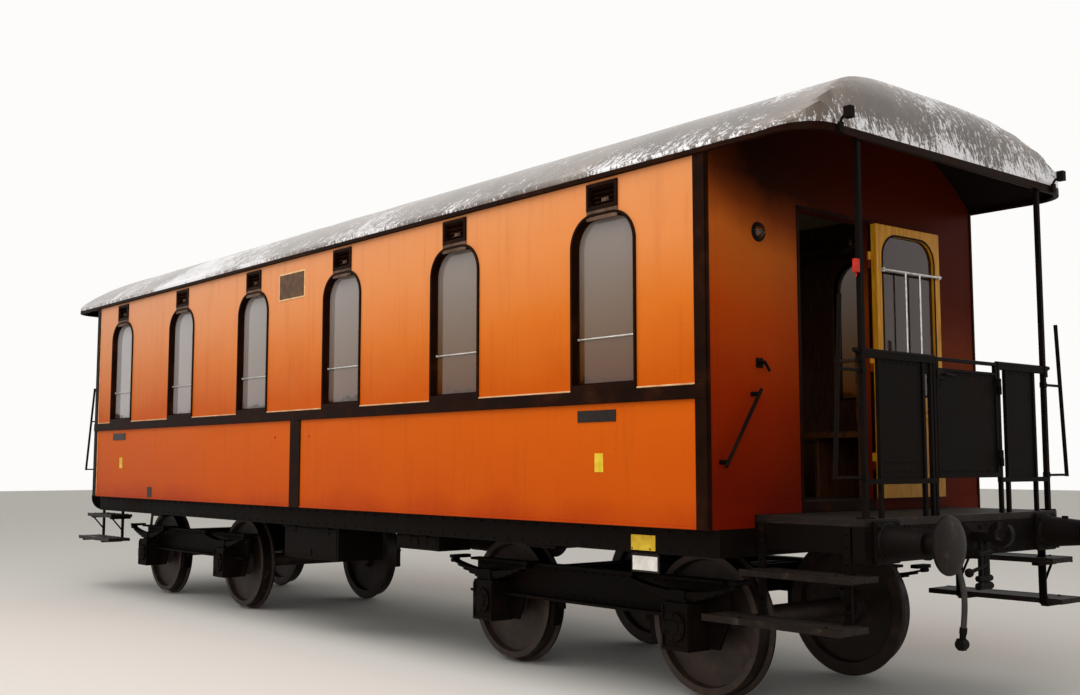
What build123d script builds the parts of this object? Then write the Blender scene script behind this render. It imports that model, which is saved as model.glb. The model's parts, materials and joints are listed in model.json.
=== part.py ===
from build123d import *
import os
from math import radians, sqrt, tan

# Passenger coach with open end platforms on two four-wheeled bogies.
# Millimetres, +X along the coach, +Z up, Z = 0 under the wheel flanges.
# End 1 is the +X end and end 2 the -X end. Both ends are alike, mirrored.

os.makedirs("parts", exist_ok=True)

# Wheels and track
flange_depth = 30
rail_top = flange_depth
tread_radius = 460
axle_height = rail_top + tread_radius
back_to_back = 1360
rim_width = 130
rim_depth = 62
hub_radius = 120
wheel_web = 26
axle_radius = 68
journal_radius = 55

# Bogie
pivot_x = 3260
wheelbase = 2000
bogie_half_length = 1300
side_frame_y = 880
side_frame_thickness = 24
side_frame_bottom = rail_top + 500
side_frame_top = rail_top + 760
axlebox_width = 230
axlebox_height = 300
journal_end_y = 1050
swivel_clearance = 0.5
centre_plate_radius = 190

# Underframe
body_length = 9790
body_width = 2900
wall = 90
platform_length = 790
sole_depth = 270
sole_bottom = rail_top + 935
frame_top = sole_bottom + sole_depth
sole_width = 100
steel = 14
headstock_thickness = 80
headstock_half_width = 1070
platform_half_width = 1050
platform_drop = 70
cross_depth = 190

# Body
floor_thickness = 45
floor_top = frame_top + floor_thickness
panel_bottom = rail_top + 1100
belt_bottom = rail_top + 1865
belt_top = rail_top + 1950
belt_proud = 18
strip_width = 92
middle_strip_width = 180
strip_proud = 12

# Roof
eave_half_width = 1480
eave_top = rail_top + 3376
fascia_depth = 50
roof_rise = 560
roof_thickness = 45
roof_form_spare = 24
roof_overrun = 775
end_round = 570
corner_round = 260

# Side windows
window_pitch = 1622
window_shift = -50
window_count = 6
frame_width = 612
frame_bar = 14
frame_foot = 36
frame_proud = 14
window_top = rail_top + 3105
arch_radius = 215
liner = 5
sash_bar = 14
sash_depth = 24
sash_inset = 33
glass_thickness = 6
vent_width = 290
vent_bottom = rail_top + 3125
vent_top = rail_top + 3305
safety_bar_height = rail_top + 2310
safety_bar_radius = 9

# End door
door_centre_y = -213
door_opening = 730
door_top = rail_top + 3100
door_gap = 8
door_thickness = 42
door_open_angle = 178
hinge_radius = 11
hinge_offset = 12
hinge_length = 55
hinge_strap = 5
door_rail = 70
door_sill = rail_top + 1950
door_bar_height = rail_top + 2780

# End railing and gate
railing_inset = 35
railing_top = rail_top + 2119
railing_bottom = rail_top + 1399
post_size = 30
post_y = 1005
gate_low_y = -280
gate_high_y = 408
gate_gap = 8

fit = 0.3

# Worked out
half_body = body_length / 2
half_width = body_width / 2
inner_width = half_width - wall
headstock_x = half_body + platform_length
platform_frame_top = frame_top - platform_drop
platform_top = floor_top - platform_drop
roof_radius = (eave_half_width**2 + roof_rise**2) / (2 * roof_rise)
roof_centre_z = eave_top + roof_rise - roof_radius
ceiling_radius = roof_radius - roof_thickness
wall_radius = ceiling_radius - fit
roof_half_length = half_body + roof_overrun
fascia_bottom = eave_top - fascia_depth
railing_x = headstock_x - railing_inset
door_low_y = door_centre_y - door_opening / 2
door_high_y = door_centre_y + door_opening / 2
window_xs = [(i - (window_count - 1) / 2) * window_pitch + window_shift for i in range(window_count)]


def arch_height(radius, y):
    return roof_centre_z + sqrt(radius**2 - y**2)


def write(piece, label):
    piece.part.label = label
    export_step(piece.part, f"parts/{label}.step")


def mirrored_end(piece):
    with BuildPart() as other:
        add(piece.part.mirror(Plane.YZ))
    return other


# Underframe: channel sole bars, cross members, bolsters and headstocks
bolster_bottom = sole_bottom - 22
bolster_half = 150
longitudinal_y = 330
longitudinal_width = 90
cross_xs = [0, 900, 1800]
girder_width = 80
girder_depth = 150
draft_depth = 120

with BuildPart() as underframe:
    for side in (-1, 1):
        with BuildSketch(Plane.YZ.offset(-half_body)) as channel:
            with Locations((side * (inner_width - sole_width / 2), (sole_bottom + frame_top) / 2)):
                Rectangle(sole_width, sole_depth)
            with Locations((side * (inner_width - sole_width / 2 - steel), (sole_bottom + frame_top) / 2)):
                Rectangle(sole_width, sole_depth - 2 * steel, mode=Mode.SUBTRACT)
        extrude(amount=body_length)
    cross_span = 2 * (inner_width - steel)
    for x in sorted({s * c for c in cross_xs for s in (-1, 1)}):
        with Locations((x, 0, frame_top - steel - cross_depth / 2)):
            Box(80, cross_span, cross_depth)
    for end in (-1, 1):
        with Locations((end * pivot_x, 0, (bolster_bottom + frame_top - steel) / 2)):
            Box(2 * bolster_half, cross_span, frame_top - steel - bolster_bottom)
        with Locations((end * (half_body - 50), 0, (sole_bottom + frame_top) / 2)):
            Box(100, 2 * inner_width, sole_depth)
        with Locations((end * (headstock_x - headstock_thickness / 2), 0, (sole_bottom + platform_frame_top) / 2)):
            Box(headstock_thickness, 2 * headstock_half_width, platform_frame_top - sole_bottom)
        run = headstock_x - headstock_thickness - half_body
        for side in (-1, 1):
            with Locations((end * (half_body + run / 2), side * (platform_half_width - girder_width / 2),
                            platform_frame_top - girder_depth / 2)):
                Box(run, girder_width, girder_depth)
        inner_run = headstock_x - headstock_thickness - pivot_x - bolster_half
        for side in (-1, 1):
            with Locations((end * (pivot_x + bolster_half + inner_run / 2), side * longitudinal_y,
                            platform_frame_top - steel - draft_depth / 2)):
                Box(inner_run, longitudinal_width, draft_depth)
    for side in (-1, 1):
        with Locations((0, side * longitudinal_y, frame_top - steel - cross_depth / 2)):
            Box(2 * (pivot_x - bolster_half), longitudinal_width, cross_depth)
write(underframe, "underframe")

# Floor boards of the saloon
with BuildPart() as floor:
    with Locations((0, 0, frame_top + floor_thickness / 2)):
        Box(body_length, 2 * inner_width, floor_thickness)
write(floor, "floor")

# Side walls: one thick panelled wall each, cut for six windows and vents
opening_width = frame_width - 2 * frame_bar
opening_bottom = belt_top + frame_foot
opening_top = window_top - frame_bar
opening_radius = arch_radius - frame_bar


def arched_outline(width, bottom, top, radius, middle=0):
    half = width / 2
    with BuildSketch() as outline:
        with BuildLine():
            Polyline((middle - half, top - radius), (middle - half, bottom),
                     (middle + half, bottom), (middle + half, top - radius))
            RadiusArc((middle + half, top - radius), (middle + half - radius, top), -radius)
            Line((middle + half - radius, top), (middle - half + radius, top))
            RadiusArc((middle - half + radius, top), (middle - half, top - radius), -radius)
        make_face()
    return outline.sketch


def side_wall(side):
    with BuildPart() as wall_part:
        with BuildSketch(Plane.YZ.offset(-half_body)):
            with BuildLine():
                inner_y = side * inner_width
                outer_y = side * half_width
                Polyline((inner_y, arch_height(wall_radius, inner_width)), (inner_y, panel_bottom),
                         (outer_y, panel_bottom), (outer_y, arch_height(wall_radius, half_width)))
                middle_y = (inner_width + half_width) / 2
                ThreePointArc((outer_y, arch_height(wall_radius, half_width)),
                              (side * middle_y, arch_height(wall_radius, middle_y)),
                              (inner_y, arch_height(wall_radius, inner_width)))
            make_face()
        extrude(amount=body_length)
        for x in window_xs:
            with BuildSketch(Plane.XZ.shift_origin((x, 0, 0)).offset(-side * half_width)):
                add(arched_outline(opening_width, opening_bottom, opening_top, opening_radius))
            extrude(amount=side * wall, mode=Mode.SUBTRACT)
            with Locations((x, side * (half_width - wall / 2), (vent_bottom + vent_top) / 2)):
                Box(vent_width - 40, wall, vent_top - vent_bottom - 40, mode=Mode.SUBTRACT)
    return wall_part


for side, hand in ((-1, "right"), (1, "left")):
    write(side_wall(side), f"side_wall_{hand}")

# Window frames: outer architrave, liner through the wall, sash and sill in one
pane_edge = 7
clear = arched_outline(opening_width - 2 * liner, opening_bottom + liner, opening_top - liner,
                       opening_radius - liner)
sash_hole = arched_outline(opening_width - 2 * liner - 2 * sash_bar, opening_bottom + liner + sash_bar,
                           opening_top - liner - sash_bar, opening_radius - liner - sash_bar)
pane_slot = arched_outline(opening_width - 2 * liner - 2 * sash_bar + 2 * pane_edge,
                           opening_bottom + liner + sash_bar - pane_edge,
                           opening_top - liner - sash_bar + pane_edge,
                           opening_radius - liner - sash_bar + pane_edge)
pane_shape = arched_outline(opening_width - 2 * liner - 2 * sash_bar + 2 * pane_edge - 2 * fit,
                            opening_bottom + liner + sash_bar - pane_edge + fit,
                            opening_top - liner - sash_bar + pane_edge - fit,
                            opening_radius - liner - sash_bar + pane_edge - fit)
slot_y = inner_width + sash_inset + sash_depth / 2 - glass_thickness / 2
for side, hand in ((-1, "right"), (1, "left")):
    with BuildPart() as frames:
        for x in window_xs:
            upright = Plane.XZ.shift_origin((x, 0, 0))
            with BuildSketch(upright.offset(-side * half_width)):
                add(arched_outline(frame_width, belt_top, window_top, arch_radius))
                add(clear, mode=Mode.SUBTRACT)
            extrude(amount=-side * frame_proud)
            with BuildSketch(upright.offset(-side * half_width)):
                add(arched_outline(opening_width - 2 * fit, opening_bottom + fit, opening_top - fit,
                                   opening_radius - fit))
                add(clear, mode=Mode.SUBTRACT)
            extrude(amount=side * wall)
            with BuildSketch(upright.offset(-side * (inner_width + sash_inset))):
                add(arched_outline(opening_width - 2 * liner + 2, opening_bottom + liner - 1,
                                   opening_top - liner + 1, opening_radius - liner + 1))
                add(sash_hole, mode=Mode.SUBTRACT)
            extrude(amount=-side * sash_depth)
            with BuildSketch(upright.offset(-side * slot_y)):
                add(pane_slot)
            extrude(amount=-side * glass_thickness, mode=Mode.SUBTRACT)
    write(frames, f"window_frames_{hand}")

# Window glass: one pane in each sash
with BuildPart() as window_glass:
    for side in (-1, 1):
        for x in window_xs:
            with BuildSketch(Plane.XZ.shift_origin((x, 0, 0)).offset(-side * (slot_y + fit))):
                add(pane_shape)
            extrude(amount=-side * (glass_thickness - 2 * fit))
write(window_glass, "window_glass")

# Safety bars across the windows, held between the liners behind the glass
bar_depth_in_wall = 15
bar_flange_radius = 14
bar_flange_thickness = 5
clear_width = opening_width - 2 * liner
with BuildPart() as safety_bars:
    for side in (-1, 1):
        for x in window_xs:
            bar_y = side * (inner_width + bar_depth_in_wall)
            with Locations(Location((x, bar_y, safety_bar_height), (0, 90, 0))):
                Cylinder(safety_bar_radius, clear_width)
            for step in (-1, 1):
                flange_x = x + step * (clear_width - bar_flange_thickness) / 2
                with Locations(Location((flange_x, bar_y, safety_bar_height), (0, 90, 0))):
                    Cylinder(bar_flange_radius, bar_flange_thickness)
write(safety_bars, "window_safety_bars")

# Louvred ventilators over the windows
with BuildPart() as vents:
    for side in (-1, 1):
        for x in window_xs:
            with Locations((x, side * (half_width + 7), (vent_bottom + vent_top) / 2)):
                Box(vent_width, 14, vent_top - vent_bottom)
                Box(vent_width - 50, 14, vent_top - vent_bottom - 50, mode=Mode.SUBTRACT)
            with Locations((x, side * (half_width - 20), (vent_bottom + vent_top) / 2)):
                Box(vent_width - 40 - 2 * fit, 40, vent_top - vent_bottom - 40 - 2 * fit)
                Box(vent_width - 70, 40, vent_top - vent_bottom - 70, mode=Mode.SUBTRACT)
            for row in range(4):
                with Locations(Location((x, side * (half_width - 18), vent_bottom + 42 + 32 * row), (side * 35, 0, 0))):
                    Box(vent_width - 60, 34, 5)
write(vents, "window_vents")

# Dark trim of each side: belt rail, corner strips and middle strip
for side, hand in ((-1, "right"), (1, "left")):
    with BuildPart() as trim:
        with Locations((0, side * (half_width + belt_proud / 2), (belt_bottom + belt_top) / 2)):
            Box(body_length, belt_proud, belt_top - belt_bottom)
        with Locations((0, side * (half_width + strip_proud / 2), (panel_bottom + belt_bottom) / 2)):
            Box(middle_strip_width, strip_proud, belt_bottom - panel_bottom)
        for end in (-1, 1):
            with Locations((end * (half_body - strip_width / 2), side * (half_width + strip_proud / 2),
                            (panel_bottom + fascia_bottom) / 2)):
                Box(strip_width, strip_proud, fascia_bottom - panel_bottom)
    write(trim, f"side_trim_{hand}")

# End wall 1: panelled wall with the off-centre doorway and its fixed hinge knuckles
hinge_x = half_body + hinge_offset
hinge_zs = [floor_top + 250, floor_top + 900, door_top - 250]


def arched_wall(x_low, thickness, half_span):
    with BuildPart() as panel:
        with BuildSketch(Plane.YZ.offset(x_low)):
            with BuildLine():
                Polyline((-half_span, arch_height(wall_radius, half_span)), (-half_span, floor_top),
                         (half_span, floor_top), (half_span, arch_height(wall_radius, half_span)))
                ThreePointArc((half_span, arch_height(wall_radius, half_span)), (0, arch_height(wall_radius, 0)),
                              (-half_span, arch_height(wall_radius, half_span)))
            make_face()
        extrude(amount=thickness)
    return panel.part


with BuildPart() as end_wall_1:
    add(arched_wall(half_body - wall, wall, inner_width))
    with Locations((half_body - wall / 2, door_centre_y, (floor_top + door_top) / 2)):
        Box(wall, door_opening, door_top - floor_top, mode=Mode.SUBTRACT)
    for z in hinge_zs:
        with Locations((hinge_x, door_high_y, z - hinge_length / 2)):
            Cylinder(hinge_radius, hinge_length)
        with Locations((half_body + hinge_strap / 2, door_high_y + 35, z - hinge_length / 2)):
            Box(hinge_strap, 70, hinge_length)
write(end_wall_1, "end_wall_1")
end_wall_2 = mirrored_end(end_wall_1)
write(end_wall_2, "end_wall_2")

# Partition across the middle of the saloon
partition_thickness = 40
with BuildPart() as partition:
    add(arched_wall(-partition_thickness / 2, partition_thickness, inner_width))
    with Locations((0, door_centre_y, (floor_top + door_top) / 2)):
        Box(partition_thickness, door_opening, door_top - floor_top, mode=Mode.SUBTRACT)
write(partition, "saloon_partition")

# Wooden benches, back to back at the window pillars, with the aisle on the doorway
seat_height = 440
seat_depth = 450
back_height = 1020
plank = 30
aisle_edges = {-1: door_low_y - 12, 1: door_high_y + 12}
pillar_xs = [k * window_pitch for k in range(-window_count // 2 + 1, window_count // 2)]
bench_table = []
for x in pillar_xs:
    if x == 0:
        bench_table += [(-partition_thickness / 2 - plank / 2 - fit, -1, -1), (partition_thickness / 2 + plank / 2 + fit, 1, 1)]
    else:
        bench_table += [(x, -1, 1)]
end_bench_x = half_body - wall - plank / 2 - fit
bench_table += [(-end_bench_x, 1, 1), (end_bench_x, -1, -1)]
with BuildPart() as benches:
    for side in (-1, 1):
        wall_y = side * (inner_width - fit)
        bench_width = abs(wall_y - aisle_edges[side])
        bench_y = (wall_y + aisle_edges[side]) / 2
        for x, low_way, high_way in bench_table:
            with Locations((x, bench_y, floor_top + back_height / 2)):
                Box(plank, bench_width, back_height)
            for way in sorted({low_way, high_way}):
                seat_x = x + way * (plank / 2 + seat_depth / 2)
                with Locations((seat_x, bench_y, floor_top + seat_height - plank / 2)):
                    Box(seat_depth, bench_width, plank)
                leg_x = x + way * (plank / 2 + seat_depth - 60)
                with Locations((leg_x, bench_y, floor_top + (seat_height - plank) / 2)):
                    Box(plank, bench_width - 120, seat_height - plank)
write(benches, "benches")

# Luggage racks over the windows on both sides of the partition
rack_z = rail_top + 3150
rack_depth = 300
rack_low_x = partition_thickness / 2 + fit
rack_high_x = half_body - wall - fit
with BuildPart() as luggage_racks:
    for side in (-1, 1):
        for end in (-1, 1):
            for row in range(5):
                with Locations((end * (rack_low_x + rack_high_x) / 2,
                                side * (inner_width - 30 - row * (rack_depth - 30) / 4), rack_z)):
                    Box(rack_high_x - rack_low_x, 28, 18)
            for x in (60, window_pitch, 2 * window_pitch, rack_high_x - 60):
                with Locations((end * x, side * (inner_width - rack_depth / 2), rack_z - 18)):
                    Box(24, rack_depth, 20)
write(luggage_racks, "luggage_racks")

# End door: framed leaf with a tall arched window, hinged on the outer face of the wall
leaf_width = door_opening - 2 * door_gap
leaf_bottom = floor_top + door_gap
leaf_top = door_top - door_gap
pane_inset = 14
pane_width = leaf_width - 2 * door_rail
pane_top = leaf_top - door_rail
pane_radius = 150
door_inner_x = half_body - door_thickness
with BuildPart() as leaf:
    with Locations((half_body - door_thickness / 2, door_centre_y, (leaf_bottom + leaf_top) / 2)):
        Box(door_thickness, leaf_width, leaf_top - leaf_bottom)
    with BuildSketch(Plane.YZ.offset(door_inner_x)):
        add(arched_outline(pane_width, door_sill, pane_top, pane_radius, door_centre_y))
    extrude(amount=door_thickness, mode=Mode.SUBTRACT)
    with BuildSketch(Plane.YZ.offset(half_body - door_thickness / 2 - glass_thickness / 2)):
        add(arched_outline(pane_width + 2 * pane_inset, door_sill - pane_inset, pane_top + pane_inset,
                           pane_radius + pane_inset, door_centre_y))
    extrude(amount=glass_thickness, mode=Mode.SUBTRACT)
    panel_top = door_sill - 110
    for face_x in (half_body - 4, door_inner_x + 4):
        with Locations((face_x, door_centre_y, (leaf_bottom + 130 + panel_top) / 2)):
            Box(8, leaf_width - 200, panel_top - leaf_bottom - 130, mode=Mode.SUBTRACT)
    for z in hinge_zs:
        with Locations((hinge_x, door_high_y, z + hinge_length / 2 + fit)):
            Cylinder(hinge_radius, hinge_length)
        with Locations((half_body + hinge_strap / 2, door_high_y - 40, z + hinge_length / 2 + fit)):
            Box(hinge_strap, 80, hinge_length)

with BuildPart() as pane:
    with BuildSketch(Plane.YZ.offset(half_body - door_thickness / 2 - glass_thickness / 2 + fit)):
        add(arched_outline(pane_width + 2 * pane_inset - 2 * fit, door_sill - pane_inset + fit,
                           pane_top + pane_inset - fit, pane_radius + pane_inset - fit, door_centre_y))
    extrude(amount=glass_thickness - 2 * fit)

# White metal bars across the door window and the latch handles
bar_radius = 8
bar_x = door_inner_x - 30
bar_span = leaf_width - 60
with BuildPart() as bars:
    with Locations(Location((bar_x, door_centre_y, door_bar_height), (90, 0, 0))):
        Cylinder(bar_radius, bar_span)
    for step in (-1, 1):
        with Locations(Location(((door_inner_x + bar_x) / 2, door_centre_y + step * (bar_span / 2 - 12),
                                 door_bar_height), (0, 90, 0))):
            Cylinder(14, door_inner_x - bar_x)
        with Locations((bar_x, door_centre_y + step * 80, (door_sill - 60 + door_bar_height) / 2)):
            Cylinder(bar_radius - 1, door_bar_height - door_sill + 60)
        with Locations(Location(((door_inner_x + bar_x) / 2, door_centre_y + step * 80,
                                 door_sill - 50), (0, 90, 0))):
            Cylinder(9, door_inner_x - bar_x)

with BuildPart() as handles:
    handle_y = door_low_y + door_gap + 45
    handle_z = door_sill - 160
    for face_x, way in ((half_body, 1), (door_inner_x, -1)):
        with Locations(Location((face_x + way * 15, handle_y, handle_z), (0, 90, 0))):
            Cylinder(9, 30)
        with Locations((face_x + way * 3, handle_y, handle_z)):
            Box(6, 44, 120)
        with Locations((face_x + way * 26, handle_y + 45, handle_z)):
            Box(12, 110, 18)

hinge_axis = Axis((hinge_x, door_high_y, 0), (0, 0, 1))
for piece, tail in ((leaf, ""), (pane, "_glass"), (bars, "_bars"), (handles, "_handles")):
    with BuildPart() as opened:
        add(piece.part.rotate(hinge_axis, door_open_angle))
    write(opened, f"end_door_1{tail}")
    write(mirrored_end(piece), f"end_door_2{tail}")

# Roof: bowed shell with rounded ends and a fascia all round


def roof_form(arch_radius_now, half_length, round_radius, half_plan, plan_round, bottom):
    crown = arch_height(arch_radius_now, 0)
    end = half_length + roof_form_spare
    flat = end - round_radius
    with BuildPart() as form:
        with BuildSketch(Plane.XY.offset(bottom)):
            RectangleRounded(2 * half_length, 2 * half_plan, plan_round)
        extrude(amount=crown - bottom + roof_form_spare)
        with Locations(Location((0, 0, roof_centre_z), (0, 90, 0))):
            Cylinder(arch_radius_now, 2 * end + roof_form_spare, mode=Mode.INTERSECT)
        with BuildSketch(Plane.XZ.offset(-half_plan - roof_form_spare)):
            with BuildLine():
                crest = crown + roof_form_spare / 3
                low = bottom - roof_form_spare
                Polyline((-end, crown - round_radius), (-end, low), (end, low), (end, crown - round_radius))
                RadiusArc((end, crown - round_radius), (flat, crest), -1.02 * round_radius)
                Line((flat, crest), (-flat, crest))
                RadiusArc((-flat, crest), (-end, crown - round_radius), -1.02 * round_radius)
            make_face()
        extrude(amount=2 * (half_plan + roof_form_spare), mode=Mode.INTERSECT)
    return form


fascia_thickness = eave_half_width - half_width
with BuildPart() as roof:
    add(roof_form(roof_radius, roof_half_length, end_round, eave_half_width, corner_round, fascia_bottom).part)
    add(roof_form(ceiling_radius, roof_half_length - fascia_thickness, end_round - fascia_thickness,
                  half_width, corner_round - fascia_thickness, fascia_bottom - 10).part, mode=Mode.SUBTRACT)
write(roof, "roof")

# Platform decks
with BuildPart() as platform_1:
    deck_length = headstock_x - half_body
    with Locations((half_body + deck_length / 2, 0, platform_frame_top + floor_thickness / 2)):
        Box(deck_length, 2 * platform_half_width, floor_thickness)
write(platform_1, "platform_deck_1")
write(mirrored_end(platform_1), "platform_deck_2")

# End railings: corner posts up to the roof, rails, sheet panels, bars and gate hinges
sheet_thickness = 5
bar_size = 24
rail_thickness = 30
top_rail_depth = 40
bottom_rail_depth = 30
sheet_low_y = -855
sheet_high_y = -416
far_sheet_low_y = 517
far_sheet_high_y = 860
slit_bar_y = -335
gate_stile_offset = gate_gap + bar_size / 2
panel_edges = [(sheet_low_y, sheet_high_y), (far_sheet_low_y, far_sheet_high_y)]
upright_ys = [sheet_low_y, sheet_high_y, slit_bar_y, gate_low_y - gate_stile_offset,
              gate_high_y + gate_stile_offset, far_sheet_low_y, far_sheet_high_y]
gate_hinge_radius = 10
gate_hinge_length = 50
gate_lug = 12
gate_rail_depth = 18
gate_slit = 45
gate_hinge_x = railing_x + bar_size / 2 + gate_hinge_radius + 2
gate_hinge_y = gate_high_y + gate_gap / 2
gate_hinge_zs = [railing_bottom + 120, railing_top - 150]
with BuildPart() as railing_1:
    for side in (-1, 1):
        with Locations((railing_x, side * post_y, (platform_top + fascia_bottom) / 2)):
            Box(post_size, post_size, fascia_bottom - platform_top)
    for low, high in ((-post_y, gate_low_y - gate_gap), (gate_high_y + gate_gap, post_y)):
        with Locations((railing_x, (low + high) / 2, railing_top - top_rail_depth / 2)):
            Box(rail_thickness, high - low, top_rail_depth)
        with Locations((railing_x, (low + high) / 2, railing_bottom - bottom_rail_depth / 2)):
            Box(rail_thickness, high - low, bottom_rail_depth)
    for y in upright_ys:
        with Locations((railing_x, y, (platform_top + railing_top) / 2)):
            Box(bar_size, bar_size, railing_top - platform_top)
    for low, high in panel_edges:
        with Locations((railing_x, (low + high) / 2, (railing_bottom + railing_top) / 2)):
            Box(sheet_thickness, high - low, railing_top - railing_bottom)
    for z in gate_hinge_zs:
        with Locations((gate_hinge_x, gate_hinge_y, z - gate_hinge_length / 2)):
            Cylinder(gate_hinge_radius, gate_hinge_length)
        with Locations((railing_x + (bar_size + gate_lug) / 2, gate_high_y + gate_gap + 10, z - gate_hinge_length / 2)):
            Box(gate_lug, 20, gate_hinge_length)
write(railing_1, "end_railing_1")
write(mirrored_end(railing_1), "end_railing_2")

# Gate in the middle of each railing, hinged on its +Y side
with BuildPart() as gate:
    gate_width = gate_high_y - gate_low_y
    gate_middle = (gate_high_y + gate_low_y) / 2
    gate_sheet_top = railing_top - gate_rail_depth - gate_slit
    with Locations((railing_x, gate_middle, railing_top - gate_rail_depth / 2)):
        Box(bar_size, gate_width, gate_rail_depth)
    with Locations((railing_x, gate_middle, gate_sheet_top - gate_rail_depth / 2)):
        Box(bar_size, gate_width, gate_rail_depth)
    with Locations((railing_x, gate_middle, railing_bottom + bottom_rail_depth / 2)):
        Box(bar_size, gate_width, bottom_rail_depth)
    for y in (gate_low_y + bar_size / 2, gate_high_y - bar_size / 2):
        with Locations((railing_x, y, (railing_bottom + railing_top) / 2)):
            Box(bar_size, bar_size, railing_top - railing_bottom)
    with Locations((railing_x, gate_middle, (railing_bottom + gate_sheet_top) / 2)):
        Box(sheet_thickness, gate_width, gate_sheet_top - railing_bottom - 20)
    for z in gate_hinge_zs:
        with Locations((gate_hinge_x, gate_hinge_y, z + gate_hinge_length / 2 + fit)):
            Cylinder(gate_hinge_radius, gate_hinge_length)
        with Locations((railing_x + (bar_size + gate_lug) / 2, gate_high_y - 10, z + gate_hinge_length / 2 + fit)):
            Box(gate_lug, 20, gate_hinge_length)
write(gate, "gangway_gate_1")
write(mirrored_end(gate), "gangway_gate_2")

# Steps: two treads each side of each platform on iron hangers
tread_thickness = 35
hanger_width = 50
hanger_thickness = 20
hanger_bottom = rail_top + 560
tread_high_x = headstock_x + 10
tread_table = [
    # top, inner y, outer y, low x
    (rail_top + 870, 960, 1220, half_body + 15),
    (rail_top + 600, 1060, 1320, half_body - 190),
]
hanger_xs = [half_body + 60, headstock_x - headstock_thickness - 40]
with BuildPart() as steps_1:
    for side in (-1, 1):
        for top, inner, outer, low in tread_table:
            with Locations(((low + tread_high_x) / 2, side * (inner + outer) / 2, top - tread_thickness / 2)):
                Box(tread_high_x - low, outer - inner, tread_thickness)
        for x in hanger_xs:
            with Locations((x, side * (platform_half_width + hanger_thickness / 2),
                            (hanger_bottom + platform_frame_top) / 2)):
                Box(hanger_width, hanger_thickness, platform_frame_top - hanger_bottom)
            for top, inner, outer, low in tread_table:
                with Locations((x, side * (inner + outer) / 2, top - tread_thickness - hanger_thickness / 2)):
                    Box(hanger_width, outer - inner - 20, hanger_thickness)
write(steps_1, "steps_1")
write(mirrored_end(steps_1), "steps_2")

# Grab rails: one leaning rod outboard of each post, held by two arms
rod_radius = 13
rod_top_y = 1199
rod_top = rail_top + 2420
rod_foot_y = 1275
rod_foot = rail_top + 1400
arm_size = 16
arm_table = [
    # height, outer y
    (rail_top + 2005, 1235),
    (rail_top + 1410, 1280),
]
with BuildPart() as grab_rails_1:
    for side in (-1, 1):
        top = Vector(railing_x, side * rod_top_y, rod_top)
        foot = Vector(railing_x, side * rod_foot_y, rod_foot)
        with BuildLine() as path:
            Line(top, foot)
        with BuildSketch(Plane(origin=top, z_dir=foot - top)):
            Circle(rod_radius)
        sweep(path=path.line)
        for z, reach in arm_table:
            with Locations((railing_x, side * (post_y + post_size / 2 + reach) / 2, z)):
                Box(arm_size, reach - post_y - post_size / 2, arm_size)
write(grab_rails_1, "grab_rails_1")
write(mirrored_end(grab_rails_1), "grab_rails_2")

# Slanted handrails on the end panels, with their brackets
handrail_reach = 60
handrail_radius = 11
handrail_foot_radius = 14
handrail_top_y = 1038
handrail_top = rail_top + 1930
handrail_foot_y = 1366
handrail_foot = rail_top + 1465
with BuildPart() as handrails:
    for end in (-1, 1):
        for side in (-1, 1):
            rail_x = end * (half_body + handrail_reach)
            top = Vector(rail_x, side * handrail_top_y, handrail_top)
            foot = Vector(rail_x, side * handrail_foot_y, handrail_foot)
            with BuildLine() as path:
                Line(top, foot)
            with BuildSketch(Plane(origin=top, z_dir=foot - top)):
                Circle(handrail_radius)
            sweep(path=path.line)
            for share in (0.06, 0.94):
                point = top + (foot - top) * share
                with Locations(Location((end * (half_body + handrail_reach / 2), point.Y, point.Z), (0, 90, 0))):
                    Cylinder(handrail_foot_radius, handrail_reach)
write(handrails, "end_handrails")

# Lamp brackets on the roof corners: a plate on the fascia, a bent arm and a socket
bracket_y = 1190
bracket_plate = 20
bracket_plate_width = 34
bracket_plate_depth = 60
arm_bend = 36
arm_radius = 8
socket_length = 46
socket_height = 66
with BuildPart() as lamp_brackets:
    for end in (-1, 1):
        for side in (-1, 1):
            plate_x = roof_half_length + bracket_plate / 2
            with Locations((end * plate_x, side * bracket_y, eave_top - bracket_plate_depth / 2 + 10)):
                Box(bracket_plate, bracket_plate_width, bracket_plate_depth)
            foot = Vector(end * plate_x, side * bracket_y, eave_top + 5)
            halfway = foot + Vector(end * arm_bend * (1 - sqrt(0.5)), 0, arm_bend * sqrt(0.5))
            tip = foot + Vector(end * arm_bend, 0, arm_bend)
            with BuildLine() as path:
                ThreePointArc(foot, halfway, tip)
            with BuildSketch(Plane(origin=foot, z_dir=(0, 0, 1))):
                Circle(arm_radius)
            sweep(path=path.line)
            with Locations((tip.X + end * (socket_length / 2 - 2), tip.Y, tip.Z + socket_height / 2 - 20)):
                Box(socket_length, socket_length - 4, socket_height)
write(lamp_brackets, "lamp_brackets")

lamp_y = -976
lamp_z = rail_top + 2904
lamp_radius = 62
lamp_depth = 44
with BuildPart() as platform_lamps:
    for end in (-1, 1):
        with Locations(Location((end * (half_body + lamp_depth / 2), lamp_y, lamp_z), (0, 90, 0))):
            Cylinder(lamp_radius, lamp_depth)
write(platform_lamps, "platform_lamps")

# Roof ventilators: low caps standing on the curve of the roof
cap_x = 4750
cap_radius = 40
cap_height = 50
cap_root = 20
with BuildPart() as roof_vents:
    for end in (-1, 1):
        with Locations((end * cap_x, 0, arch_height(roof_radius, 0) + (cap_height - cap_root) / 2)):
            Cylinder(cap_radius, cap_height + cap_root)
    with Locations(Location((0, 0, roof_centre_z), (0, 90, 0))):
        Cylinder(roof_radius + fit, body_length, mode=Mode.SUBTRACT)
write(roof_vents, "roof_vents")

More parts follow.
